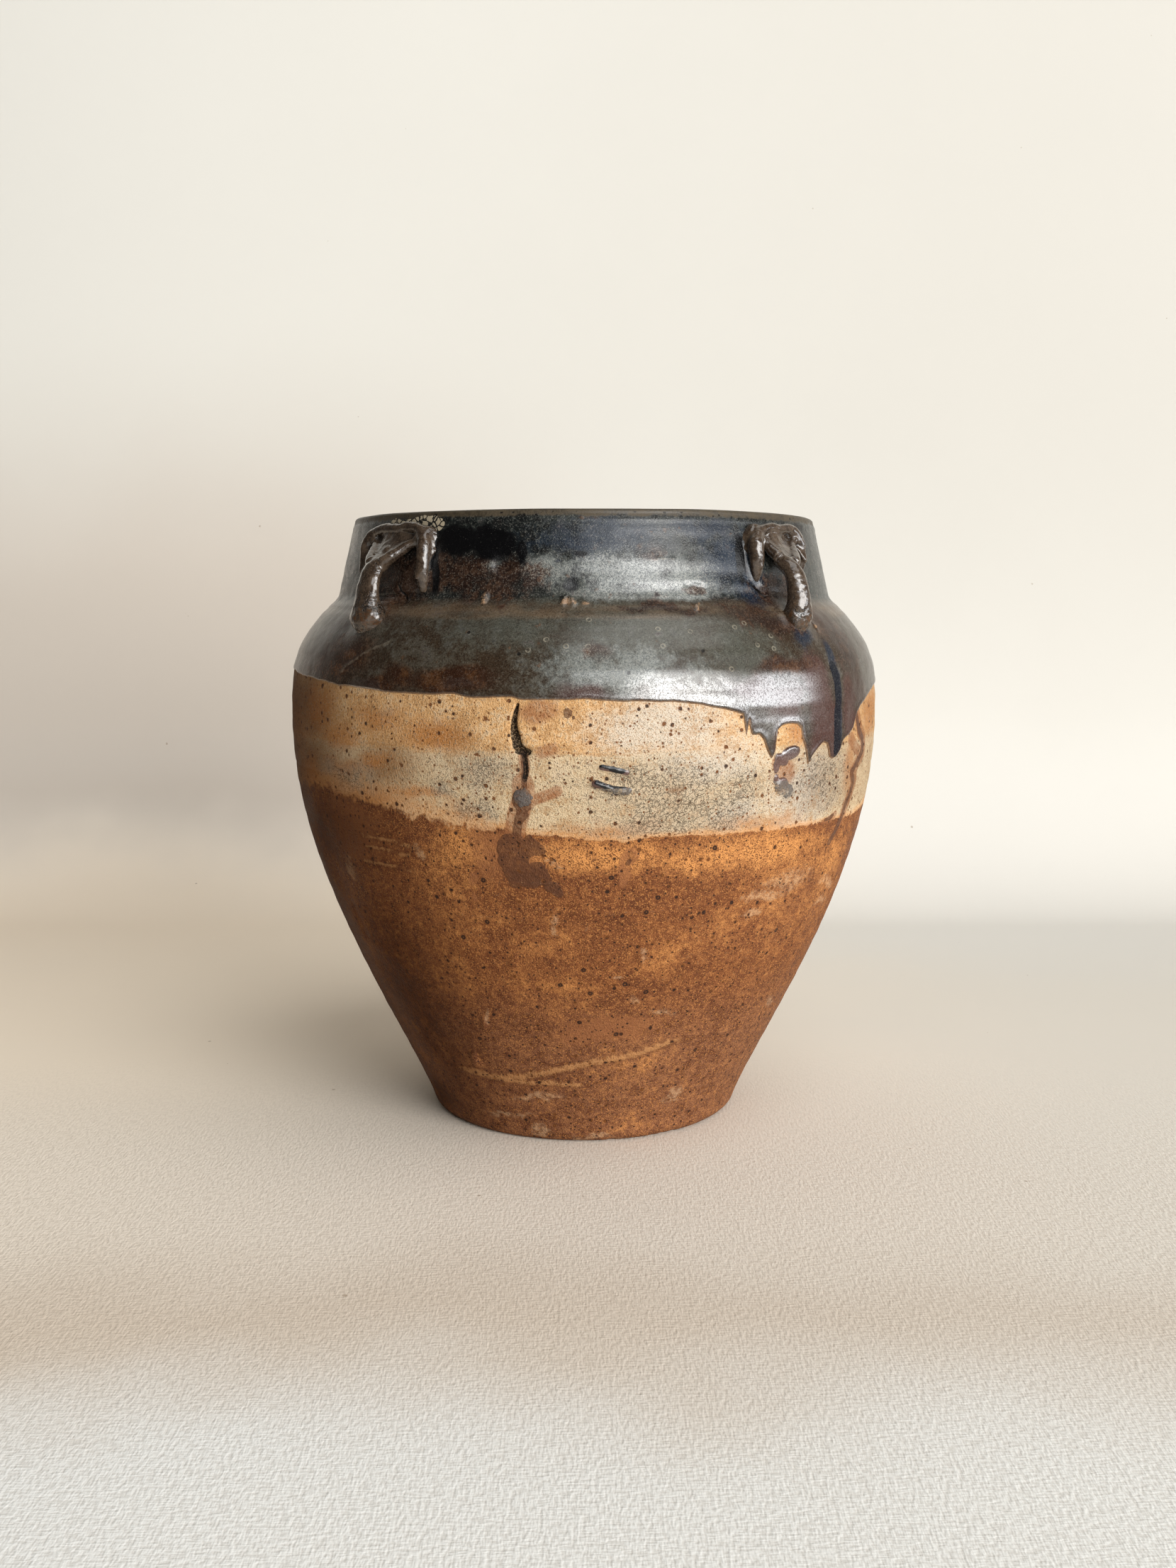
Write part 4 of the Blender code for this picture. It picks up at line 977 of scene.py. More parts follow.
def hoodSurface(lug, s, t, depth):
    # s runs from one leg's outer side to the other's and t from top to bottom. The drop is the notch, plus a
    # smooth middle down to the strap, plus each leg's crest; the way out grows with the middle and with t
    right = s > 0
    leg = np.where(right, lug["right"][0], lug["left"][0])
    legLength = np.where(right, lug["right"][1], lug["left"][1])
    inner, outer = leg - 0.75 * hood["legWidth"], leg + 0.5 * hood["legWidth"]
    across = np.abs(s) * outer
    middle = 1 - step(across, 0.2 * strap["rootWidth"], inner)
    crest = step(across, inner, leg) * (1 - 0.72 * step(across, leg, outer))
    drop = hood["notch"] + (hood["height"] - hood["notch"]) * middle + (legLength - hood["notch"]) * crest
    sunk = 0.45 * hood["legWidth"] * step(across, leg - 0.5 * hood["legWidth"], outer) ** 2
    out = hood["seat"] + hood["topLip"] + (hood["reach"] - hood["seat"] - hood["topLip"]) * middle * t ** 0.9
    out = out + (hood["legLift"] - hood["topLip"]) * step(across, inner, leg) * step(t, 0, 0.35)
    out = out - (hood["legLift"] + 0.3 * hood["thick"]) * step(across, leg, outer) ** 1.5
    out = out - hood["dish"] * np.sin(np.pi * t) * (1 - crest)
    top = rimZ - hood["topDrop"]
    wave = 0.0006 * np.sin(9 * s + lug["azimuth"]) * (1 - t)
    return onLug(lug, np.sign(s) * across, top - sunk - (drop - sunk) * t + wave, out - depth)


def hoodSheet(lug):
    s, t = np.meshgrid(np.linspace(-1, 1, 90), np.linspace(0, 1, 26), indexing="ij")
    front = hoodSurface(lug, s, t, 0)
    back = hoodSurface(lug, s, t, hood["thick"])
    return sectionSkin(np.concatenate([front, back[:, ::-1]], 1))


def legRoll(lug, side):
    # rolled edge of the hood beside the strap, thick at the top, running out in a tail on the wall
    leg, length = lug[side]
    sign = 1 if side == "right" else -1
    top, tail, seat = rimZ - hood["topDrop"], hood["legTail"], hood["seat"]
    lean, fat = lug.get(side + "Lean", 0.0), lug.get(side + "Fat", 1.0)
    return roll(lug, [
        (sign * (leg - 7.0 * mm), top - 1.6 * mm, seat + 0.8 * mm, 1.9 * mm, 1.7 * mm, 0),
        (sign * (leg - 3.0 * mm), top - 3.2 * mm, seat + 1.4 * mm, 2.3 * mm, 2.1 * mm, 0),
        (sign * (leg - 0.3 * mm), top - 7.2 * mm, seat + 1.9 * mm, 2.6 * mm * fat, 2.5 * mm * fat, 0),
        (sign * leg + lean * 0.4, top - 0.5 * length, seat + 1.7 * mm, 2.6 * mm * fat, 2.6 * mm * fat, 0),
        (sign * leg + lean * 0.8, top - 0.8 * length, seat + 1.0 * mm, 2.5 * mm * fat, 2.4 * mm * fat, 0),
        (sign * leg + lean, top - length - 0.2 * tail, seat - 0.2 * mm, 2.1 * mm * fat, 2.0 * mm, 0),
        (sign * leg + lean * 1.1, top - length - tail, seat - 2.0 * mm, 1.6 * mm, 1.5 * mm, 0)], sides=22)


def browRoll(lug):
    # rolled upper edge of the hood, from one leg's top to the other's
    left, right = -lug["left"][0], lug["right"][0]
    top, seat = rimZ - hood["topDrop"], hood["seat"]
    return roll(lug, [(left + (right - left) * share, top + rise * mm, seat + 1.5 * mm, 2.1 * mm, 1.9 * mm, 0)
                      for share, rise in hood["brow"]], sides=18)


def lipRoll(lug, side):
    # rolled lower edge of the hood, from the notch beside a leg down and out to the strap's root
    leg, _ = lug[side]
    sign = 1 if side == "right" else -1
    top = rimZ - hood["topDrop"]
    inner = leg - 0.72 * hood["legWidth"]
    thick = hood["lipRound"]
    low = strap["rootWidth"] * 0.3
    places = [(sign * (inner + 1.6 * mm), top - hood["notch"] + 1.8 * mm, hood["seat"] + 1.6 * mm,
               thick * 0.9, thick, 0)]
    for share in (0.0, 0.3, 0.6, 0.85, 1.0):
        across = inner + (low - inner) * share
        middle = float(1 - step(across, 0.2 * strap["rootWidth"], inner))
        z = top - hood["notch"] - (hood["height"] - hood["notch"]) * middle
        out = hood["seat"] + hood["topLip"] + (hood["reach"] - hood["seat"] - hood["topLip"]) * middle
        half = thick * (1 + 0.35 * share)
        places.append((sign * across, z, out - 0.9 * mm, half, half, 0))
    return roll(lug, places, sides=18)


def strapRoll(lug):
    # the pulled strap: half widths and depths grow towards the foot; heights are shares of the span below the
    # hood
    root = rimZ - hood["topDrop"] - hood["height"]
    span = root - (neckZ - strap["footRise"])
    reach, thick = strap["reach"], 0.5 * strap["thick"]
    slim, blob = lug.get("slim", 1.0), lug.get("blob", 1.0)
    lean, twist = lug.get("strapLean", 0.0), lug.get("twist", 0.0)
    wide = [0.5 * strap[k] for k in ("rootWidth", "width", "footWidth")]
    deep = 0.5 * strap["footThick"]
    return roll(lug, [
        (0.0, root + 0.26 * span, 0.5 * hood["reach"], 1.8 * mm, 1.6 * mm, 0),
        (0.0, root + 0.06 * span, hood["reach"] - 1.4 * thick, wide[0] * slim, thick, 0.1 * twist),
        (0.1 * lean, root - 0.12 * span, 0.94 * reach, wide[0] * 1.06 * slim, thick * 1.06, 0.4 * twist),
        (0.4 * lean, root - 0.34 * span, 1.02 * reach, wide[1] * slim, thick * 1.12, twist),
        (0.8 * lean, root - 0.62 * span, 0.96 * reach, wide[2] * 0.86 * slim, deep * 0.78, 0.8 * twist),
        (lean, root - 0.88 * span, 0.78 * reach, wide[2] * 0.98 * blob, deep * 0.98 * blob, 0.3 * twist),
        (lean, root - 1.08 * span, 0.66 * reach, wide[2] * 0.8 * blob, deep * 0.86 * blob, 0),
        (lean, root - 1.24 * span, 0.6 * reach, wide[2] * 0.34 * blob, deep * 0.4 * blob, 0)],
        count=90, sides=28)


def joined(parts):
    # several closed skins as one set of points and faces
    points, quads, triangles, start = [], [], [], 0
    for p, q, t in parts:
        points.append(p)
        quads.append(q + start)
        triangles.append(t + start)
        start += len(p)
    return np.vstack(points), np.vstack(quads), np.vstack(triangles)


def readVectors(mesh, kind):
    # places or normals of a mesh's points, one row each
    values = np.empty(len(mesh.vertices) * 3, np.float32)
    mesh.vertices.foreach_get(kind, values)
    return values.reshape(-1, 3).astype(float)


def movePoints(mesh, points):
    mesh.vertices.foreach_set("co", points.astype(np.float32).ravel())
    mesh.update()


def smoothed(points, edges, turns, share=0.5):
    # each point moves a share of the way to the mean of its neighbours
    count = np.bincount(edges.ravel(), minlength=len(points))[:, None]
    for _ in range(turns):
        total = np.zeros_like(points)
        for i in range(points.shape[1]):
            total[:, i] = (np.bincount(edges[:, 0], points[edges[:, 1], i], len(points))
                           + np.bincount(edges[:, 1], points[edges[:, 0], i], len(points)))
        points = points + share * (total / np.maximum(count, 1) - points)
    return points


def lugPiece(name, lug, material):
    # the hood, its rolls and the strap, fused by a voxel remesh, smoothed, and roughened by hand-sized lumps
    parts = [hoodSheet(lug), browRoll(lug), strapRoll(lug)]
    for side in ("left", "right"):
        parts += [legRoll(lug, side), lipRoll(lug, side)]
    rough = makeMesh(name + "Rough", *joined(parts))
    fuse = rough.modifiers.new("fuse", "REMESH")
    fuse.mode = "VOXEL"
    fuse.voxel_size = remeshing["voxel"]
    view = bpy.context.evaluated_depsgraph_get()
    mesh = bpy.data.meshes.new_from_object(rough.evaluated_get(view))
    bpy.data.objects.remove(rough)
    edges = np.empty(len(mesh.edges) * 2, np.int32)
    mesh.edges.foreach_get("vertices", edges)
    edges = edges.reshape(-1, 2)
    points = smoothed(readVectors(mesh, "co"), edges, remeshing["smooth"])
    movePoints(mesh, points)
    normals = readVectors(mesh, "normal")
    # how far a point stands out of its smoothed surroundings: above 0.5 on ridges, below it in creases
    proud = points - smoothed(points, edges, remeshing["ridgeReach"])
    ridge = (proud * normals).sum(1) / remeshing["ridge"]
    ridge = smoothed(ridge[:, None], edges, 3)[:, 0]
    seed = int(lug["azimuth"]) + 400
    amount = 0.16 * mm * lumps(points, 0.0034, seed, 2) + 0.05 * mm * lumps(points, 0.0011, seed + 5)
    foot = step(points[:, 2], neckZ + 4 * mm, neckZ - 7 * mm)
    amount = amount + 0.35 * mm * foot * lumps(points, 0.0026, seed + 9, 2)
    movePoints(mesh, points + normals * amount[:, None])
    addField(mesh, "ridge", np.clip(0.5 + 0.5 * ridge, 0, 1))
    addField(mesh, "foot", foot)
    mesh.materials.clear()
    mesh.materials.append(material)
    mesh.shade_smooth()
    mesh.name = name
    return addThing(name, mesh)


def padPiece(name, lug, material):
    # smear of clay: a superellipse of about the fourth power, feathered into the wall that hides its back
    low, high = neckZ + pad["footClear"], rimZ - pad["topDrop"]
    reach = 0.5 * hood["legWidth"] + pad["overhang"]
    left, right = -(lug["left"][0] + reach), lug["right"][0] + reach
    turn, share = np.meshgrid(np.linspace(0, 2 * np.pi, pad["columns"], endpoint=False),
                              np.linspace(1, 0.02, pad["rows"]), indexing="xy")
    c, s = np.cos(turn), np.sin(turn)
    across = 0.5 * (left + right) + 0.5 * (right - left) * share * np.sign(c) * np.abs(c) ** 0.55
    z = 0.5 * (low + high) + 0.5 * (high - low) * share * np.sign(s) * np.abs(s) ** 0.55
    azimuth = np.radians(lug["azimuth"]) + across / collarRadius(z)
    place = onCylinder(azimuth, z)
    wobble = 1 + 0.5 * lumps(place, 0.006, 83, 2)
    level = step((1 - share) / 0.22 * wobble, 0, 1) * (pad["thick"] + 0.25 * mm * lumps(place, 0.009, 85, 2))
    amount = relief(azimuth, z) + glazing["thickness"] + level - 0.35 * mm * step(share, 0.9, 1.0)
    front = ringPoints(azimuth, collarRadius(z) + amount, z)
    back = ringPoints(azimuth, collarRadius(z) - pad["sunk"], z)
    points, quads, triangles = sectionSkin(np.concatenate([back[2::-1], front]))
    fields = wallFields(np.arctan2(points[:, 0], -points[:, 1]), points)
    return makeMesh(name, points, quads[:, ::-1], triangles[:, ::-1], [material], fields)


# Materials: a wire is a socket whose operators add Math nodes

def maths(operation, swapped=False):
    # a method that adds a Math node on a wire and another wire or a number
    def combine(wire, other):
        values = (other, wire) if swapped else (wire, other)
        return wire.bench.node("Math", {"operation": operation}, dict(enumerate(values)))
    return combine


class Wire:
    def __init__(self, bench, socket):
        self.bench, self.socket = bench, socket

    __add__, __radd__ = maths("ADD"), maths("ADD", swapped=True)
    __sub__, __rsub__ = maths("SUBTRACT"), maths("SUBTRACT", swapped=True)
    __mul__, __rmul__ = maths("MULTIPLY"), maths("MULTIPLY", swapped=True)
    high, low = maths("MAXIMUM"), maths("MINIMUM")


class Bench:
    # one material's node tree
    def __init__(self, name):
        self.material = bpy.data.materials.new(name)
        self.material.use_nodes = True
        self.tree = self.material.node_tree
        self.tree.nodes.clear()
        self.place = self.node("TexCoord", output="Object")
        self.height = self.node("SeparateXYZ", {}, {0: self.place}, "Z")

    def node(self, kind, settings=None, sockets=None, output=0):
        # settings first, then each socket's value or link; hands back one output, or all of them by name
        made = self.tree.nodes.new("ShaderNode" + kind)
        for name, value in (settings or {}).items():
            setattr(made, name, value)
        for name, value in (sockets or {}).items():
            if isinstance(value, Wire):
                self.tree.links.new(value.socket, made.inputs[name])
            else:
                made.inputs[name].default_value = value
        if output is None:
            return {o.name: Wire(self, o) for o in made.outputs}
        return Wire(self, made.outputs[output])

    def noise(self, size, detail, stretch=None):
        # soft noise from 0 to 1 with lumps of a size in metres
        place = self.place
        if stretch:
            place = self.node("VectorMath", {"operation": "MULTIPLY"}, {0: place, 1: stretch})
        return self.node("TexNoise", {}, {"Vector": place, "Scale": 1 / size, "Detail": detail,
                                          "Roughness": 0.55}, "Fac")

    def noises(self, *sizes):
        return [self.noise(size, detail) for size, detail in sizes]

    def ragged(self, value, *parts):
        # a value with noises laid on it, each centred on 0 and given its amount
        for noise, amount in parts:
            value = value + (noise - 0.5) * amount
        return value

    def ease(self, value, low, high, start=0.0, end=1.0):
        # 3t² - 2t³ from start to end while the value goes from low to high
        return self.node("MapRange", {"interpolation_type": "SMOOTHSTEP"},
                         {"Value": value, "From Min": low, "From Max": high, "To Min": start, "To Max": end},
                         "Result")

    def dots(self, size, rarity, radius, rough, soft=0.03):
        # round spots, one in each cell whose lot is above the rarity, the larger the higher its lot
        cell = self.node("TexVoronoi", {}, {"Vector": self.place, "Scale": 1 / size}, None)
        lot = self.node("SeparateColor", {}, {0: cell["Color"]}, "Red")
        return self.ease(cell["Distance"] + rough - (lot - rarity) * radius, soft, -soft)

    def web(self, size, rough):
        # distance to the edge of broken-up cells
        bent = self.node("VectorMath", {"operation": "ADD"}, {0: self.place, 1: rough})
        return self.node("TexVoronoi", {"feature": "DISTANCE_TO_EDGE"}, {"Vector": bent, "Scale": 1 / size},
                         "Distance")

    def field(self, name):
        return self.node("Attribute", {"attribute_name": name}, {}, "Fac")

    def mark(self, name, rough, amount=0.5, soft=0.06):
        # a painted mark whose edge is broken up by a noise
        return self.ease(self.field(name) + (rough - 0.5) * amount, 0.5 - soft, 0.5 + soft)

    def mix(self, factor, a, b):
        a, b = (c if isinstance(c, Wire) else c + (1,) for c in (a, b))
        return self.node("Mix", {"data_type": "RGBA"}, {0: factor, 6: a, 7: b}, 2)

    def lay(self, palette, colour, layers):
        # layers of (share, tint), each over those before it; a tint is a name in the palette or a colour
        for share, tint in layers:
            colour = self.mix(share, colour, palette[tint] if isinstance(tint, str) else tint)
        return colour

    def nearest(self, places):
        # distance to the nearest of some places on the wall, in metres
        best = None
        for azimuth, z in places:
            point = tuple(ringPoints(np.radians(azimuth), float(wallRadius(z * mm)), z * mm))
            away = self.node("VectorMath", {"operation": "DISTANCE"}, {0: self.place, 1: point}, "Value")
            best = away if best is None else best.low(away)
        return best

    def finish(self, colour, roughness, bump, depth, gloss):
        # the Principled shader; a bump of 1 stands for the depth, in metres
        normal = self.node("Bump", {}, {"Strength": 1.0, "Distance": depth, "Height": bump}, "Normal")
        sockets = {"Base Color": colour, "Roughness": roughness, "Normal": normal, **gloss}
        shader = self.node("BsdfPrincipled", {}, sockets, "BSDF")
        self.node("OutputMaterial", {}, {"Surface": shader}, None)
        return self.material


clay = {
    "tan": (0.6, 0.345, 0.15), "grey": (0.56, 0.43, 0.27), "pale": (0.7, 0.54, 0.35),
    "deep": (0.32, 0.17, 0.07), "paleAndSheen": (0.545, 0.475, 0.385), "paler": (0.6, 0.53, 0.44),
    "umber": (0.235, 0.105, 0.032), "flash": (0.42, 0.155, 0.034), "sootCast": (0.4, 0.345, 0.27),
    "soot": (0.062, 0.044, 0.028), "rustBright": (0.6, 0.265, 0.085), "rust": (0.192, 0.068, 0.026),
    "rustLow": (0.205, 0.087, 0.044), "rustDeep": (0.095, 0.032, 0.015), "tea": (0.27, 0.108, 0.045),
    "stain": (0.098, 0.042, 0.023), "scuff": (0.62, 0.42, 0.25), "scratch": (0.62, 0.32, 0.13),
    "speck": (0.15, 0.055, 0.018), "iron": (0.028, 0.016, 0.012), "halo": (0.17, 0.06, 0.022),
    "crack": (0.01, 0.007, 0.005), "dusk": (0.042, 0.011, 0.002),
    "ironSpots": [(-19, 106), (-25, 98), (-5, 79), (1.5, 75), (9, 79), (14, 75), (0, 86), (30, 112),
        (24, 109), (12, 111), (14, 117), (45, 96), (5, 126), (-1, 61), (8, 55), (32, 43), (-28, 50),
        (24, 136.5), (-18.5, 124)],
}


def clayLook(bench):
    # bare stoneware: buff above the band line and rust below it, each with its marks; gives colour, roughness
    # and height
    ease, mark, mix, field, ragged = bench.ease, bench.mark, bench.mix, bench.field, bench.ragged
    large, medium, small, fine, sand = bench.noises(
        (0.03, 4), (0.0075, 4), (0.0023, 3), (0.001, 2), (0.0005, 1))
    lines = bench.noise(0.0016, 3, stretch=(0.07, 0.07, 1))
    mottle, grains = medium * 0.4 + small * 0.35 + fine * 0.25, fine * 0.55 + sand * 0.45
    paleAndSheen = mark("paleAndSheen", mottle, 0.9, 0.45)
    sooty = ragged(field("soot"), (medium, 1.3), (small, 0.5))
    web = ease(bench.web(0.0027, small * 0.005) + (fine - 0.5) * 0.16, 0.045, 0)
    specks = small * 0.15 + grains * 0.85 + ease(sooty, 0, 1.2) * 0.09
    warm = ease(ragged(bench.height, (lines, 0.006), (medium, 0.003)), 0.1738, 0.1768)
    buff = bench.lay(clay, mix(warm, clay["grey"], clay["tan"]), [
        # paler buff, partly painted sheen
        (paleAndSheen * 0.9, "paleAndSheen"),
        (ease(mottle, 0.48, 0.6, 0, 0.55), mix(paleAndSheen, clay["pale"], clay["paler"])),
        (mark("umber", mottle, 1, 0.5) * 0.85, "umber"),
        (ease(mottle + (large - 0.5) * 0.3, 0.5, 0.38, 0, 0.5), "deep"),
        (ease(lines, 0.57, 0.66, 0, 0.3), "deep"),
        (mark("flash", medium * 0.4 + small * 0.6, 1.1, 0.5) * 0.7, "flash"),
        (ease(grains, 0.48, 0.38, 0, 0.55), "deep"),
        (ease(grains, 0.53, 0.63, 0, 0.35), "pale"),
        (ease(sooty, 0.05, 1, 0, 0.42), "sootCast"),
        (web * ease(sooty, 0.5, 0.9) * 0.8, "soot"),
        (ease(specks, 0.582, 0.645, 0, 0.74), "soot")])
    # rust: a tone that gathers what is bright and what is dark at every size
    warmth = field("ochre") * ease(bench.height, 0.112, 0.128, 0.32, 0.76)
    tone = ragged(warmth, (large, 0.45), (medium, 0.85), (small, 1.1), (fine, 1.5))
    low = ease(bench.height + (medium - 0.5) * 0.02, 0.045, 0.085)
    rust = bench.lay(clay, mix(low, clay["rustLow"], clay["rust"]), [
        (ease(tone, 0.02, 0.85), "rustBright"),
        (ease(tone, 0.1, -0.28, 0, 0.9), "rustDeep"),
        (ease(grains + ease(bench.height, 0.098, 0.135) * 0.03, 0.54, 0.61, 0, 0.85), "rustDeep"),
        (ease(grains, 0.47, 0.37, 0, 0.55), "rustBright")])
    edge = ragged(field("band"), (small, 0.1), (medium, 0.14), (fine, 0.05))
    buff = mix(ease(edge, 0.64, 0.5, 0, 0.55), buff, clay["rustBright"])
    below = ease(edge, 0.52, 0.48)
    # washes, stains and scratches first, then iron spots over all of them, the left side's painted shade with
    # its flame-darkening, and the crack
    blot, rough = medium * 0.5 + small * 0.5, (fine - 0.5) * 0.35
    stain = mark("stain", blot, 0.7, 0.07)
    scrape = ease(ragged(field("score"), (grains, 2), (small, 1.6)), 0.35, 0.95)
    spots = bench.dots(0.0031, 0.32, 0.42, rough * 0.5)
    away = bench.nearest(clay["ironSpots"]) + (small - 0.5) * 0.001
    core = ease(away, 0.0012, 0.0009) * ease(away, 0.0001, 0.0006, 0.4, 1)
    gash = ease(ragged(field("crack"), (small, 0.5), (medium, 0.3)), 0.38, 0.56)
    colour = bench.lay(clay, mix(below, buff, rust), [
        (mark("tea", blot * 0.6 + grains * 0.4, 1.5, 0.22) * ease(mottle, 0.38, 0.6, 0.9, 0.55), "tea"),
        (stain * ease(mottle, 0.38, 0.62, 0.95, 0.65), "stain"),
        (mark("pale", lines * 0.4 + grains * 0.6, 2.6, 0.35) * ease(small, 0.42, 0.58, 0.1, 0.36), "scuff"),
        (scrape * (0.15 + below * 0.57), "scratch"),
        (ease(field("score") + (small - 0.5) * 0.5, 0.04, 0.3, 0, 0.3), "rustDeep"),
        (bench.dots(0.0018, 0.22, 0.36, rough, 0.05) * 0.9, mix(below, clay["speck"], clay["iron"])),
        (bench.dots(0.0031, 0.38, 0.62, rough * 0.6, 0.08) * 0.35, "halo"),
        (spots * 0.92, mix(ease(small, 0.45, 0.55), clay["iron"], clay["speck"])),
        (ease(away, 0.0022, 0.0011) * 0.5, "halo"),
        (core * 0.95, "iron"),
        # painted shade of the left side, partly flame-darkened clay
        (field("dusk") * ease(mottle, 0.38, 0.62, 0.9, 0.72), "dusk"),
        (gash * ease(grains, 0.6, 0.52, 0.55, 0.97), "crack")])
    roughness = (ease(large + (small - 0.5) * 0.6, 0.3, 0.7, 0.58, 0.78)
                 - stain * 0.22 - below * 0.08 - core * 0.25 + gash * 0.2)
    height = (fine * 0.62 + sand * 0.34 + small * 0.5 + medium * 0.25 + lines * 0.25 + stain * 0.25
              - spots * 0.2 - gash * 0.6 - web * field("soot") * 0.25)
    return colour, roughness, height


coat = {
    "shoulder": (0.032, 0.02, 0.011), "shoulderPale": (0.064, 0.055, 0.04), "neck": (0.005, 0.007, 0.007),
    "neckPale": (0.03, 0.035, 0.031), "olive": (0.064, 0.065, 0.052), "frostAndSheen": (0.21, 0.225, 0.215),
    "black": (0.0012, 0.0012, 0.0016), "rusty": (0.016, 0.006, 0.003), "rustyPale": (0.046, 0.019, 0.008),
    "blue": (0.003, 0.011, 0.026), "amber": (0.028, 0.009, 0.003), "amberPale": (0.08, 0.03, 0.008),
    "violet": (0.06, 0.023, 0.018), "streak": (0.0018, 0.0035, 0.009), "wiped": (0.062, 0.046, 0.027),
    "drop": (0.15, 0.08, 0.066), "blob": (0.105, 0.092, 0.084), "chalk": (0.44, 0.37, 0.26),
    "brown": (0.125, 0.082, 0.048), "thin": (0.26, 0.14, 0.065), "crystals": (0.3, 0.29, 0.25),
    "crumb": (0.27, 0.165, 0.095), "hole": (0.006, 0.005, 0.004),
    "pits": [(1, 226), (13.5, 222.5), (19.5, 221.5), (0.8, 216), (13.8, 216), (31.5, 224.5), (29, 223),
        (36.5, 219.5), (32.5, 216), (36, 214.5), (-9.5, 214.5), (26, 207), (-6.5, 218.5), (-3, 216)],
    "fleck": (0.13, 0.062, 0.03), "ring": (0.26, 0.23, 0.17), "scratch": (0.24, 0.2, 0.15),
    "darkPits": [(-11, 213), (-21, 221), (7.5, 206), (21, 214)],
}


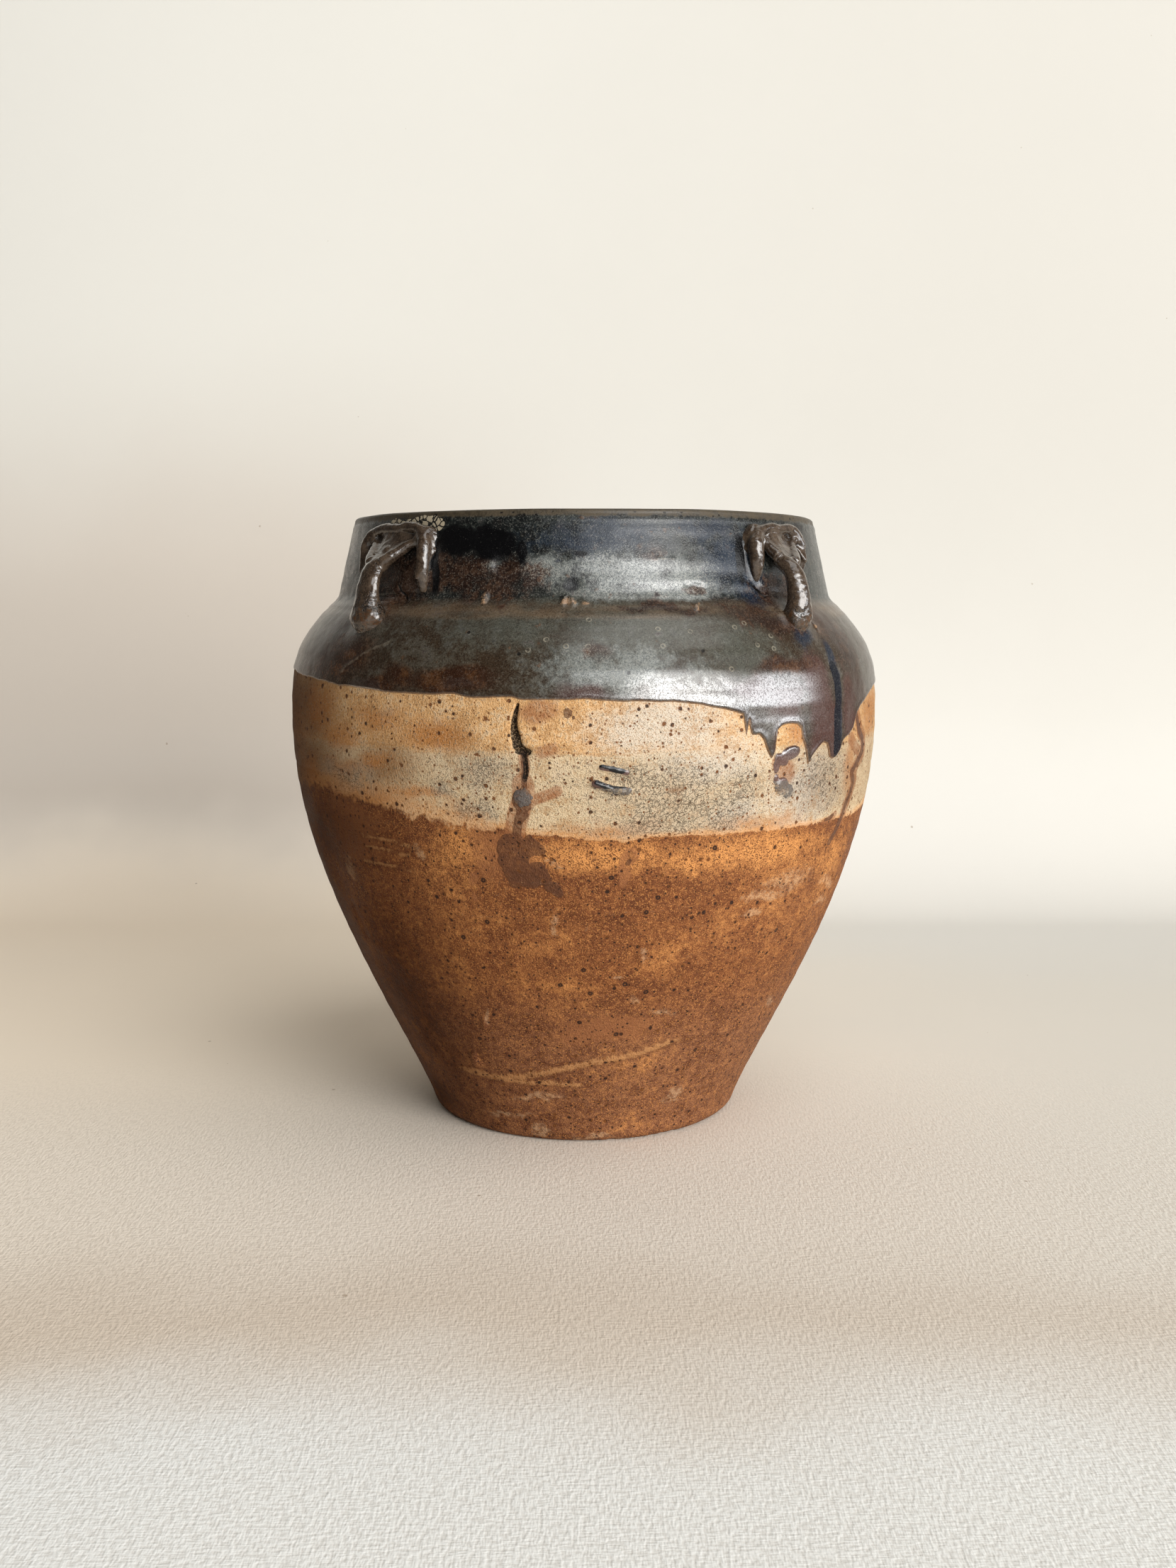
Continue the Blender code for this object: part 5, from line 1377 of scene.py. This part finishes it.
def coatLook(bench):
    # iron glaze: brown-black that breaks to silver, amber, violet and blue; gives colour, roughness, height
    # and gloss
    ease, mark, mix, field, ragged = bench.ease, bench.mark, bench.mix, bench.field, bench.ragged
    large, medium, small, fine, sand = bench.noises(
        (0.028, 4), (0.0075, 5), (0.002, 4), (0.0008, 2), (0.0004, 1))
    lines = bench.noise(0.0024, 3, stretch=(0.1, 0.1, 1))
    mottle, grains = medium * 0.4 + small * 0.35 + fine * 0.25, fine * 0.55 + sand * 0.45
    blot, up = medium * 0.6 + small * 0.4, bench.height
    cloud = ragged(mottle, (large, 0.5), (lines, 0.3))
    onNeck = ease(up + (medium - 0.5) * 0.003, 0.2325, 0.235)
    base = mix(onNeck, coat["shoulder"], coat["neck"])
    lit = mix(onNeck, coat["shoulderPale"], coat["neckPale"])
    wheel = ease(up + (lines - 0.5) * 0.004, 0.2255, 0.2285) * (
        1 - ease(up + (medium - 0.5) * 0.004, 0.2305, 0.233))
    frostAndSheen, blue = mark("frostAndSheen", blot, 2.4, 0.45), mark("blue", blot, 2.2, 0.4)
    amber, streak = mark("amber", large * 0.5 + blot * 0.5, 1.6, 0.5), mark("streak", blot, 0.9, 0.12)
    black, flecks = mark("black", blot, 2.4, 0.22), bench.dots(0.0055, 0.72, 0.6, (small - 0.5) * 1, 0.06)
    # the coat runs amber and then thin along its own edge
    depth = (field("glaze") - 0.5) * 6 * mm
    drop = ease(field("drip"), 0.42, 0.6)
    edge = ease(ragged(depth, (small, 0.0016), (medium, 0.003)), 0, 0.0034, 1, 0)
    thin = ease(depth + (small - 0.5) * 0.0006, 0.0008, 0.0001, 0, 0.75) * (1 - drop)
    crystals = ease(grains + frostAndSheen * 0.04 - black * 0.12, 0.54, 0.66)
    colour = bench.lay(coat, mix(ease(cloud, 0.42, 0.62, 0, 0.85), base, lit), [
        (mark("olive", blot, 1.6, 0.55) * 0.85, "olive"),
        # grey frost, partly painted sheen
        (frostAndSheen * 0.6, "frostAndSheen"),
        (wheel * ease(large * 0.6 + lines * 0.4, 0.36, 0.6, 0.1, 0.7), "brown"),
        (blue * 0.85, "blue"),
        (mark("rusty", blot, 2.6, 0.3) * 0.9,
         mix(ease(mottle, 0.46, 0.6), coat["rusty"], coat["rustyPale"])),
        (flecks * 0.4, "fleck"),
        (mark("violet", blot, 1.8, 0.4) * 0.85, "violet"),
        (amber * 0.92, mix(ease(blot + (large - 0.5) * 0.4, 0.46, 0.66), coat["amber"], coat["amberPale"])),
        (streak * 0.96, "streak"),
        (edge * 0.45, "amber"),
        (thin, "thin"),
        (drop * ease(up, 0.176, 0.168) * 0.7, "drop"),
        (black, "black"),
        (crystals * (0.1 + frostAndSheen * 0.28 + onNeck * 0.1), "crystals")])
    dust = ease(grains, 0.475, 0.37)
    colour = mix(dust * 0.62, colour, mix(0.25, coat["black"], colour))
    away = bench.nearest(coat["pits"]) + (fine - 0.5) * 0.0004
    ring = ease(away, 0.0013, 0.001) - ease(away, 0.0008, 0.0005)
    hole = ease(bench.nearest(coat["darkPits"]), 0.0009, 0.0006).high(
        bench.dots(0.0075, 0.7, 0.22, (fine - 0.5) * 0.1))
    # wiped rim: tan with a row of pinholes below it
    wipe = ease(ragged(up, (medium, 0.003), (small, 0.0016)), 0.2662, 0.2674)
    row = ease(up, 0.2666, 0.267) - ease(up, 0.2681, 0.2685)
    rowHole = bench.dots(0.0023, 0.25, 0.42, (small - 0.5) * 0.3, 0.05) * row
    chalk, crumb = mark("chalk", small), ease(field("crumb"), 0.2, 0.8)
    gap = ease(bench.web(0.003, small * 0.002), 0.11, 0.04)
    colour = bench.lay(coat, colour, [
        (ring * ease(small, 0.4, 0.6, 0.15, 0.6), "ring"),
        (hole * 0.9, "hole"),
        (wipe * ease(mottle, 0.4, 0.56, 0.55, 0.95), "wiped"),
        (rowHole * 0.95, "hole"),
        (chalk * 0.9, mix(gap, coat["chalk"], coat["hole"])),
        (crumb * ease(small * 0.5 + fine * 0.5, 0.42, 0.56, 0.15, 0.9), "crumb"),
        (ease(field("score") + (small - 0.5) * 1.8, 0.45, 1) * 0.3, "scratch"),
        (ease(field("crack"), 0.4, 0.75), "hole")])
    roughness = (ease(mottle, 0.4, 0.62, 0.13, 0.25) + onNeck * ease(cloud, 0.36, 0.64, 0.02, 0.16)
                 + frostAndSheen * 0.06 - amber * 0.05 - black * 0.08 + blue * 0.04 - streak * 0.06
                 - edge * 0.03 + wipe * 0.25 + chalk * 0.4 + crumb * 0.1 + dust * 0.12).high(0.07)
    height = (bench.noise(0.009, 1) * 1.5 + small * 0.16 + fine * 0.26 + sand * 0.16 + lines * 0.1
              - hole * 0.5 - rowHole * 0.9 + ring * 0.25 - chalk * gap * 1.2 + crumb * small * 0.8
              + flecks * 0.15)
    gloss = mark("gloss", blot * 0.6 + grains * 0.4, 2.2, 0.42) * ease(grains, 0.4, 0.52, 0.25, 1)
    return colour, roughness, height, (gloss * 0.77 + 0.23) * (1 - streak * 0.8)


def bareStoneware():
    # the clay, with fallen drops of glaze on it
    bench = Bench("bareStoneware")
    colour, roughness, height = clayLook(bench)
    small, medium = bench.noises((0.0012, 3), (0.0036, 2))
    patches = bench.ease(small * 0.5 + medium * 0.5, 0.4, 0.52, 0.5, 1)
    drip = bench.ease(bench.ragged(bench.field("drip"), (small, 1), (medium, 0.8)), 0.4, 0.55) * patches
    colour = bench.mix(drip * 0.9, colour, coat["blob"])
    roughness = drip * 0.16 + (1 - drip) * roughness
    return bench.finish(colour, roughness, height + patches * drip * 0.6, 0.00075, {
        "Specular IOR Level": 0.05, "Coat Weight": drip * 0.7, "Coat Roughness": 0.1})


def glazedShoulder():
    # the coat over the clay: the glaze field parts them, with drips and the hanging bead laid on
    bench = Bench("glazedShoulder")
    clayColour, clayRough, clayHeight = clayLook(bench)
    coatColour, coatRough, coatHeight, gloss = coatLook(bench)
    small = bench.noise(0.0014, 3)
    drip = bench.ease(bench.field("drip") + (small - 0.5) * 0.2, 0.4, 0.5)
    covered = bench.ease(bench.field("glaze") + (small - 0.5) * 0.035, 0.492, 0.508).high(drip)
    colour = bench.mix(covered, clayColour, coatColour)
    roughness = covered * coatRough + (1 - covered) * clayRough
    height = covered * coatHeight * 0.55 + (1 - covered) * clayHeight
    return bench.finish(colour, roughness, height, 0.00075, {
        "Specular IOR Level": 0.1, "Coat IOR": 2.2, "Coat Weight": covered * gloss, "Coat Roughness": 0.24})


def darkGlaze():
    bench = Bench("darkGlaze")
    colour, roughness, height, gloss = coatLook(bench)
    return bench.finish(colour, roughness, height, 0.00045, {
        "Specular IOR Level": 0.28, "Coat IOR": 1.8, "Coat Weight": gloss * 0.62, "Coat Roughness": 0.24})


lugCoat = {
    "brown": (0.026, 0.016, 0.01), "tan": (0.066, 0.045, 0.03), "worn": (0.17, 0.125, 0.085),
    "crease": (0.004, 0.003, 0.002), "ochre": (0.07, 0.026, 0.007), "pin": (0.012, 0.008, 0.005),
}


def brownGlaze():
    # lugs: brown glaze, thinned to tan on ridges with painted highlight along them, darker in creases with
    # glaze gathered there and painted shade, turning ochre at the strap's foot
    bench = Bench("brownGlaze")
    ease = bench.ease
    medium, small, fine = bench.noises((0.0055, 4), (0.0017, 3), (0.0006, 2))
    ridge, foot = bench.field("ridge"), bench.field("foot")
    mottle = medium * 0.5 + small * 0.3 + fine * 0.2
    ochre = ease(foot * 0.24 + small * 0.6 + medium * 0.4, 0.74, 0.84)
    groove = ease(mottle, 0.46, 0.42) * foot
    pin = bench.dots(0.0028, 0.55, 0.34, (fine - 0.5) * 0.1, 0.04)
    colour = bench.lay(lugCoat, bench.mix(ease(mottle, 0.4, 0.6), lugCoat["brown"], lugCoat["tan"]), [
        # painted highlight along ridges, partly thinner glaze
        (ease(ridge + (small - 0.5) * 0.35, 0.62, 0.92, 0, 0.45), "worn"),
        # painted shade in creases, partly glaze gathered there
        (ease(ridge + (small - 0.5) * 0.3, 0.45, 0.18, 0, 0.95), "crease"),
        (ochre * 0.7, "ochre"),
        (groove * 0.9, "crease"),
        (pin * 0.8, "pin"),
        (ease(fine, 0.56, 0.7, 0, 0.3), "worn")])
    roughness = ease(small, 0.32, 0.68, 0.12, 0.24) - ochre * 0.04
    height = medium * 0.55 + small * 0.4 + fine * 0.1 - pin * 0.5 - groove * 0.5
    return bench.finish(colour, roughness, height, 0.00035, {
        "Specular IOR Level": 0.5, "Coat Weight": 0.4, "Coat Roughness": 0.06})


innerCoat = {
    "deep": (0.075, 0.034, 0.014), "warm": (0.19, 0.1, 0.045), "dark": (0.03, 0.018, 0.011),
    "pin": (0.02, 0.012, 0.008),
}


def insideGlaze():
    # brown glaze of the inside, drawn out along the rings of the throwing
    bench = Bench("insideGlaze")
    ease = bench.ease
    large, medium, small = bench.noises((0.03, 4), (0.0065, 4), (0.0016, 3))
    lines = bench.noise(0.003, 3, stretch=(0.14, 0.14, 1))
    pin = bench.dots(0.0034, 0.5, 0.4, (small - 0.5) * 0.3)
    warm = ease(large * 0.6 + lines * 0.5, 0.42, 0.72)
    colour = bench.lay(innerCoat, bench.mix(warm, innerCoat["deep"], innerCoat["warm"]), [
        (ease(medium + (small - 0.5) * 0.4, 0.55, 0.75, 0, 0.6), "dark"),
        (pin * 0.7, "pin")])
    height = medium * 0.4 + small * 0.25 + lines * 0.3 - pin * 0.4
    return bench.finish(colour, ease(medium, 0.3, 0.7, 0.2, 0.38), height, 0.00025, {
        "Specular IOR Level": 0.5, "Coat Weight": 0.3, "Coat Roughness": 0.08})


# Everything put together

def settle(piece, node):
    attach(piece, "root")
    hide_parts(node)


print("materials")
bare, shoulder, dark, brown, inner = (
    make() for make in (bareStoneware, glazedShoulder, darkGlaze, brownGlaze, insideGlaze))

print("turned skins")
settle(lowerSkin([bare, inner]), "lower_body")
settle(upperSkin([shoulder, inner]), "upper_body")
settle(collarSkin([dark, inner]), "neck_collar")

print("lugs")
for where, lug in lugs.items():
    name = "".join(word.title() for word in where.split("_"))
    settle(padPiece("pad" + name, lug, dark), "lug_pad_" + where)
    settle(lugPiece("lug" + name, lug, brown), "lug_loop_" + where)


# Floor, backdrop, light and camera

cloth = {
    "floor": (0.84, 0.75, 0.64), "floorRight": (0.82, 0.755, 0.66), "floorBack": (0.89, 0.78, 0.64),
    "farRight": (0.83, 0.805, 0.76), "wall": (0.79, 0.775, 0.735), "backdrop": (0.715, 0.7, 0.65),
    "lit": (0.56, 0.54, 0.495), "shade": (0.68, 0.57, 0.455), "near": (0.86, 0.865, 0.84),
    "nearRight": (0.94, 0.955, 0.93), "leftShade": (0.5, 0.435, 0.37), "beyond": (0.22, 0.2, 0.18),
    "thread": (0.34, 0.27, 0.2), "fleck": (0.25, 0.17, 0.1),
}

studio = {
    "floorReach": 3.0, "floorWidth": 7.0, "backY": 0.54, "backHeight": 3.0, "bend": 0.15,
    "world": (1, 0.94, 0.87, 1), "worldStrength": 0.07,
    # camera at the photograph's angle: a little above the middle of the pot, looking down by these degrees;
    # the focal length and the photograph's height are in pixels
    "cameraPlace": (0.0018, -0.7244, 0.2314), "cameraDown": 6.52,
    "focalLength": 2200, "photoHeight": 2212, "filmHeight": 36,
    "lampAim": 0.14,              # height in metres that the lamps face
}

# Power, width and height, distance, azimuth, rise, colour
lamps = {
    "window": (98, (2.4, 1.35), 3.2, 38, 13, (1, 0.985, 0.96)),
    "pane": (30, (2.6, 0.8), 3.2, 20, 26, (0.97, 0.985, 1)),
    "windowEnd": (42, (2.5, 1.0), 3.2, 72, 8, (0.94, 0.97, 1)),
    "overhead": (15, (2.0, 1.2), 2.2, 40, 62, (1, 0.985, 0.95)),
}


def paleCloth():
    # cream floor that turns lighter up the backdrop, with a faint cloth-like grain
    bench = Bench("paleCloth")
    ease = bench.ease
    large, fine = bench.noises((0.16, 3), (0.0012, 2))
    forward, sideways = (bench.node("SeparateXYZ", {}, {0: bench.place}, axis) + (large - 0.5) * 0.12
                         for axis in "YX")
    rise = bench.height + (large - 0.5) * 0.06
    rightward, near = ease(sideways, -0.05, 0.3), ease(forward, 0.1, -0.12)
    # painted shade on the backdrop and floor where the lamps light them most, to the right and up high
    lit = ease(sideways, -0.45, 0.5, 0, 0.95) * ease(rise, -0.02, 0.4, 0.68, 1)
    shaded = ease(sideways, 0.06, -0.2) * ease(rise, 0.02, 0.09) * ease(rise, 0.46, 0.22)
    beyond = ease(bench.node("Math", {"operation": "ABSOLUTE"}, {0: sideways}), 0.6, 0.95)
    warp, weft = bench.noise(0.0011, 1, stretch=(0.3, 1, 1)), bench.noise(0.0011, 1, stretch=(1, 0.3, 1))
    # painted light on the floor behind the pot to the left, in its shadow
    floorTint = bench.mix(ease(forward, -0.12, 0.08) * (1 - rightward), cloth["floor"], cloth["floorBack"])
    tint = bench.lay(cloth, floorTint, [
        (rightward, "floorRight"),
        (ease(forward, 0.16, 0.38) * rightward, "farRight"),
        (ease(forward, -0.16, -0.25, 0, 0.9), "shade"),
        (ease(forward, -0.24, -0.34), bench.mix(rightward, cloth["near"], cloth["nearRight"])),
        (ease(rise, 0, 0.12), "wall"),
        (ease(rise, 0.1, 0.42), "backdrop"),
        (lit, "lit"),
        (shaded * 0.72, "leftShade"),
        (beyond, "beyond"),
        (ease(warp + weft, 1.06, 0.86, 0, 0.16) * near, "thread"),
        (bench.dots(0.02, 0.8, 0.25, (fine - 0.5) * 0.06, 0.01) * 0.5, "fleck")])
    return bench.finish(tint, ease(fine, 0.3, 0.7, 0.86, 0.94), (warp + weft) * near, 0.00022, {
        "Specular IOR Level": 0.2})


def sweepBackdrop():
    # floor that turns up into a wall behind the pot: a line of floor, a quarter circle and a line of wall
    bend, back = studio["bend"], studio["backY"]
    turn = np.linspace(0, np.pi / 2, 16)
    y = np.r_[-studio["floorReach"], back - bend + bend * np.sin(turn), back]
    z = np.r_[0, bend * (1 - np.cos(turn)), studio["backHeight"]]
    x = np.linspace(-0.5, 0.5, 5) * studio["floorWidth"]
    shape = len(x), len(y)
    points = np.stack([np.broadcast_to(p, shape) for p in (x[:, None], y, z)], -1).reshape(-1, 3)
    numbers = np.arange(len(points)).reshape(shape)
    quads = np.stack([numbers[:-1, :-1], numbers[1:, :-1], numbers[1:, 1:], numbers[:-1, 1:]], -1)
    makeMesh("floorAndBackdrop", points, quads.reshape(-1, 4), [], [paleCloth()])


def softLamp(name, power, size, away, azimuth, rise, colour):
    # area lamp at an azimuth and a rise, facing the middle of the pot
    lamp = bpy.data.lights.new(name, "AREA")
    lamp.shape, lamp.energy, lamp.color = "ELLIPSE", power, colour
    lamp.size, lamp.size_y = size
    turn, lift = np.radians(azimuth), np.radians(rise)
    thing = addThing(name, lamp)
    thing.location = ringPoints(turn, away * np.cos(lift), studio["lampAim"] + away * np.sin(lift))
    thing.rotation_euler = (np.pi / 2 - lift, 0, turn)


def viewpoint():
    lens = bpy.data.cameras.new("camera")
    lens.sensor_fit, lens.sensor_height = "VERTICAL", studio["filmHeight"]
    lens.lens = studio["focalLength"] / studio["photoHeight"] * studio["filmHeight"]
    lens.dof.use_dof = False
    thing = addThing("camera", lens)
    thing.location = studio["cameraPlace"]
    thing.rotation_euler = (np.radians(90 - studio["cameraDown"]), 0, 0)
    bpy.context.scene.camera = thing


print("studio")
sweepBackdrop()
for name, settings in lamps.items():
    softLamp(name, *settings)
viewpoint()
world = bpy.data.worlds.new("studioWorld")
world.use_nodes = True
air = world.node_tree.nodes["Background"]
air.inputs["Color"].default_value = studio["world"]
air.inputs["Strength"].default_value = studio["worldStrength"]
bpy.context.scene.world = world
bpy.context.scene.view_settings.view_transform = "Standard"

print("done")
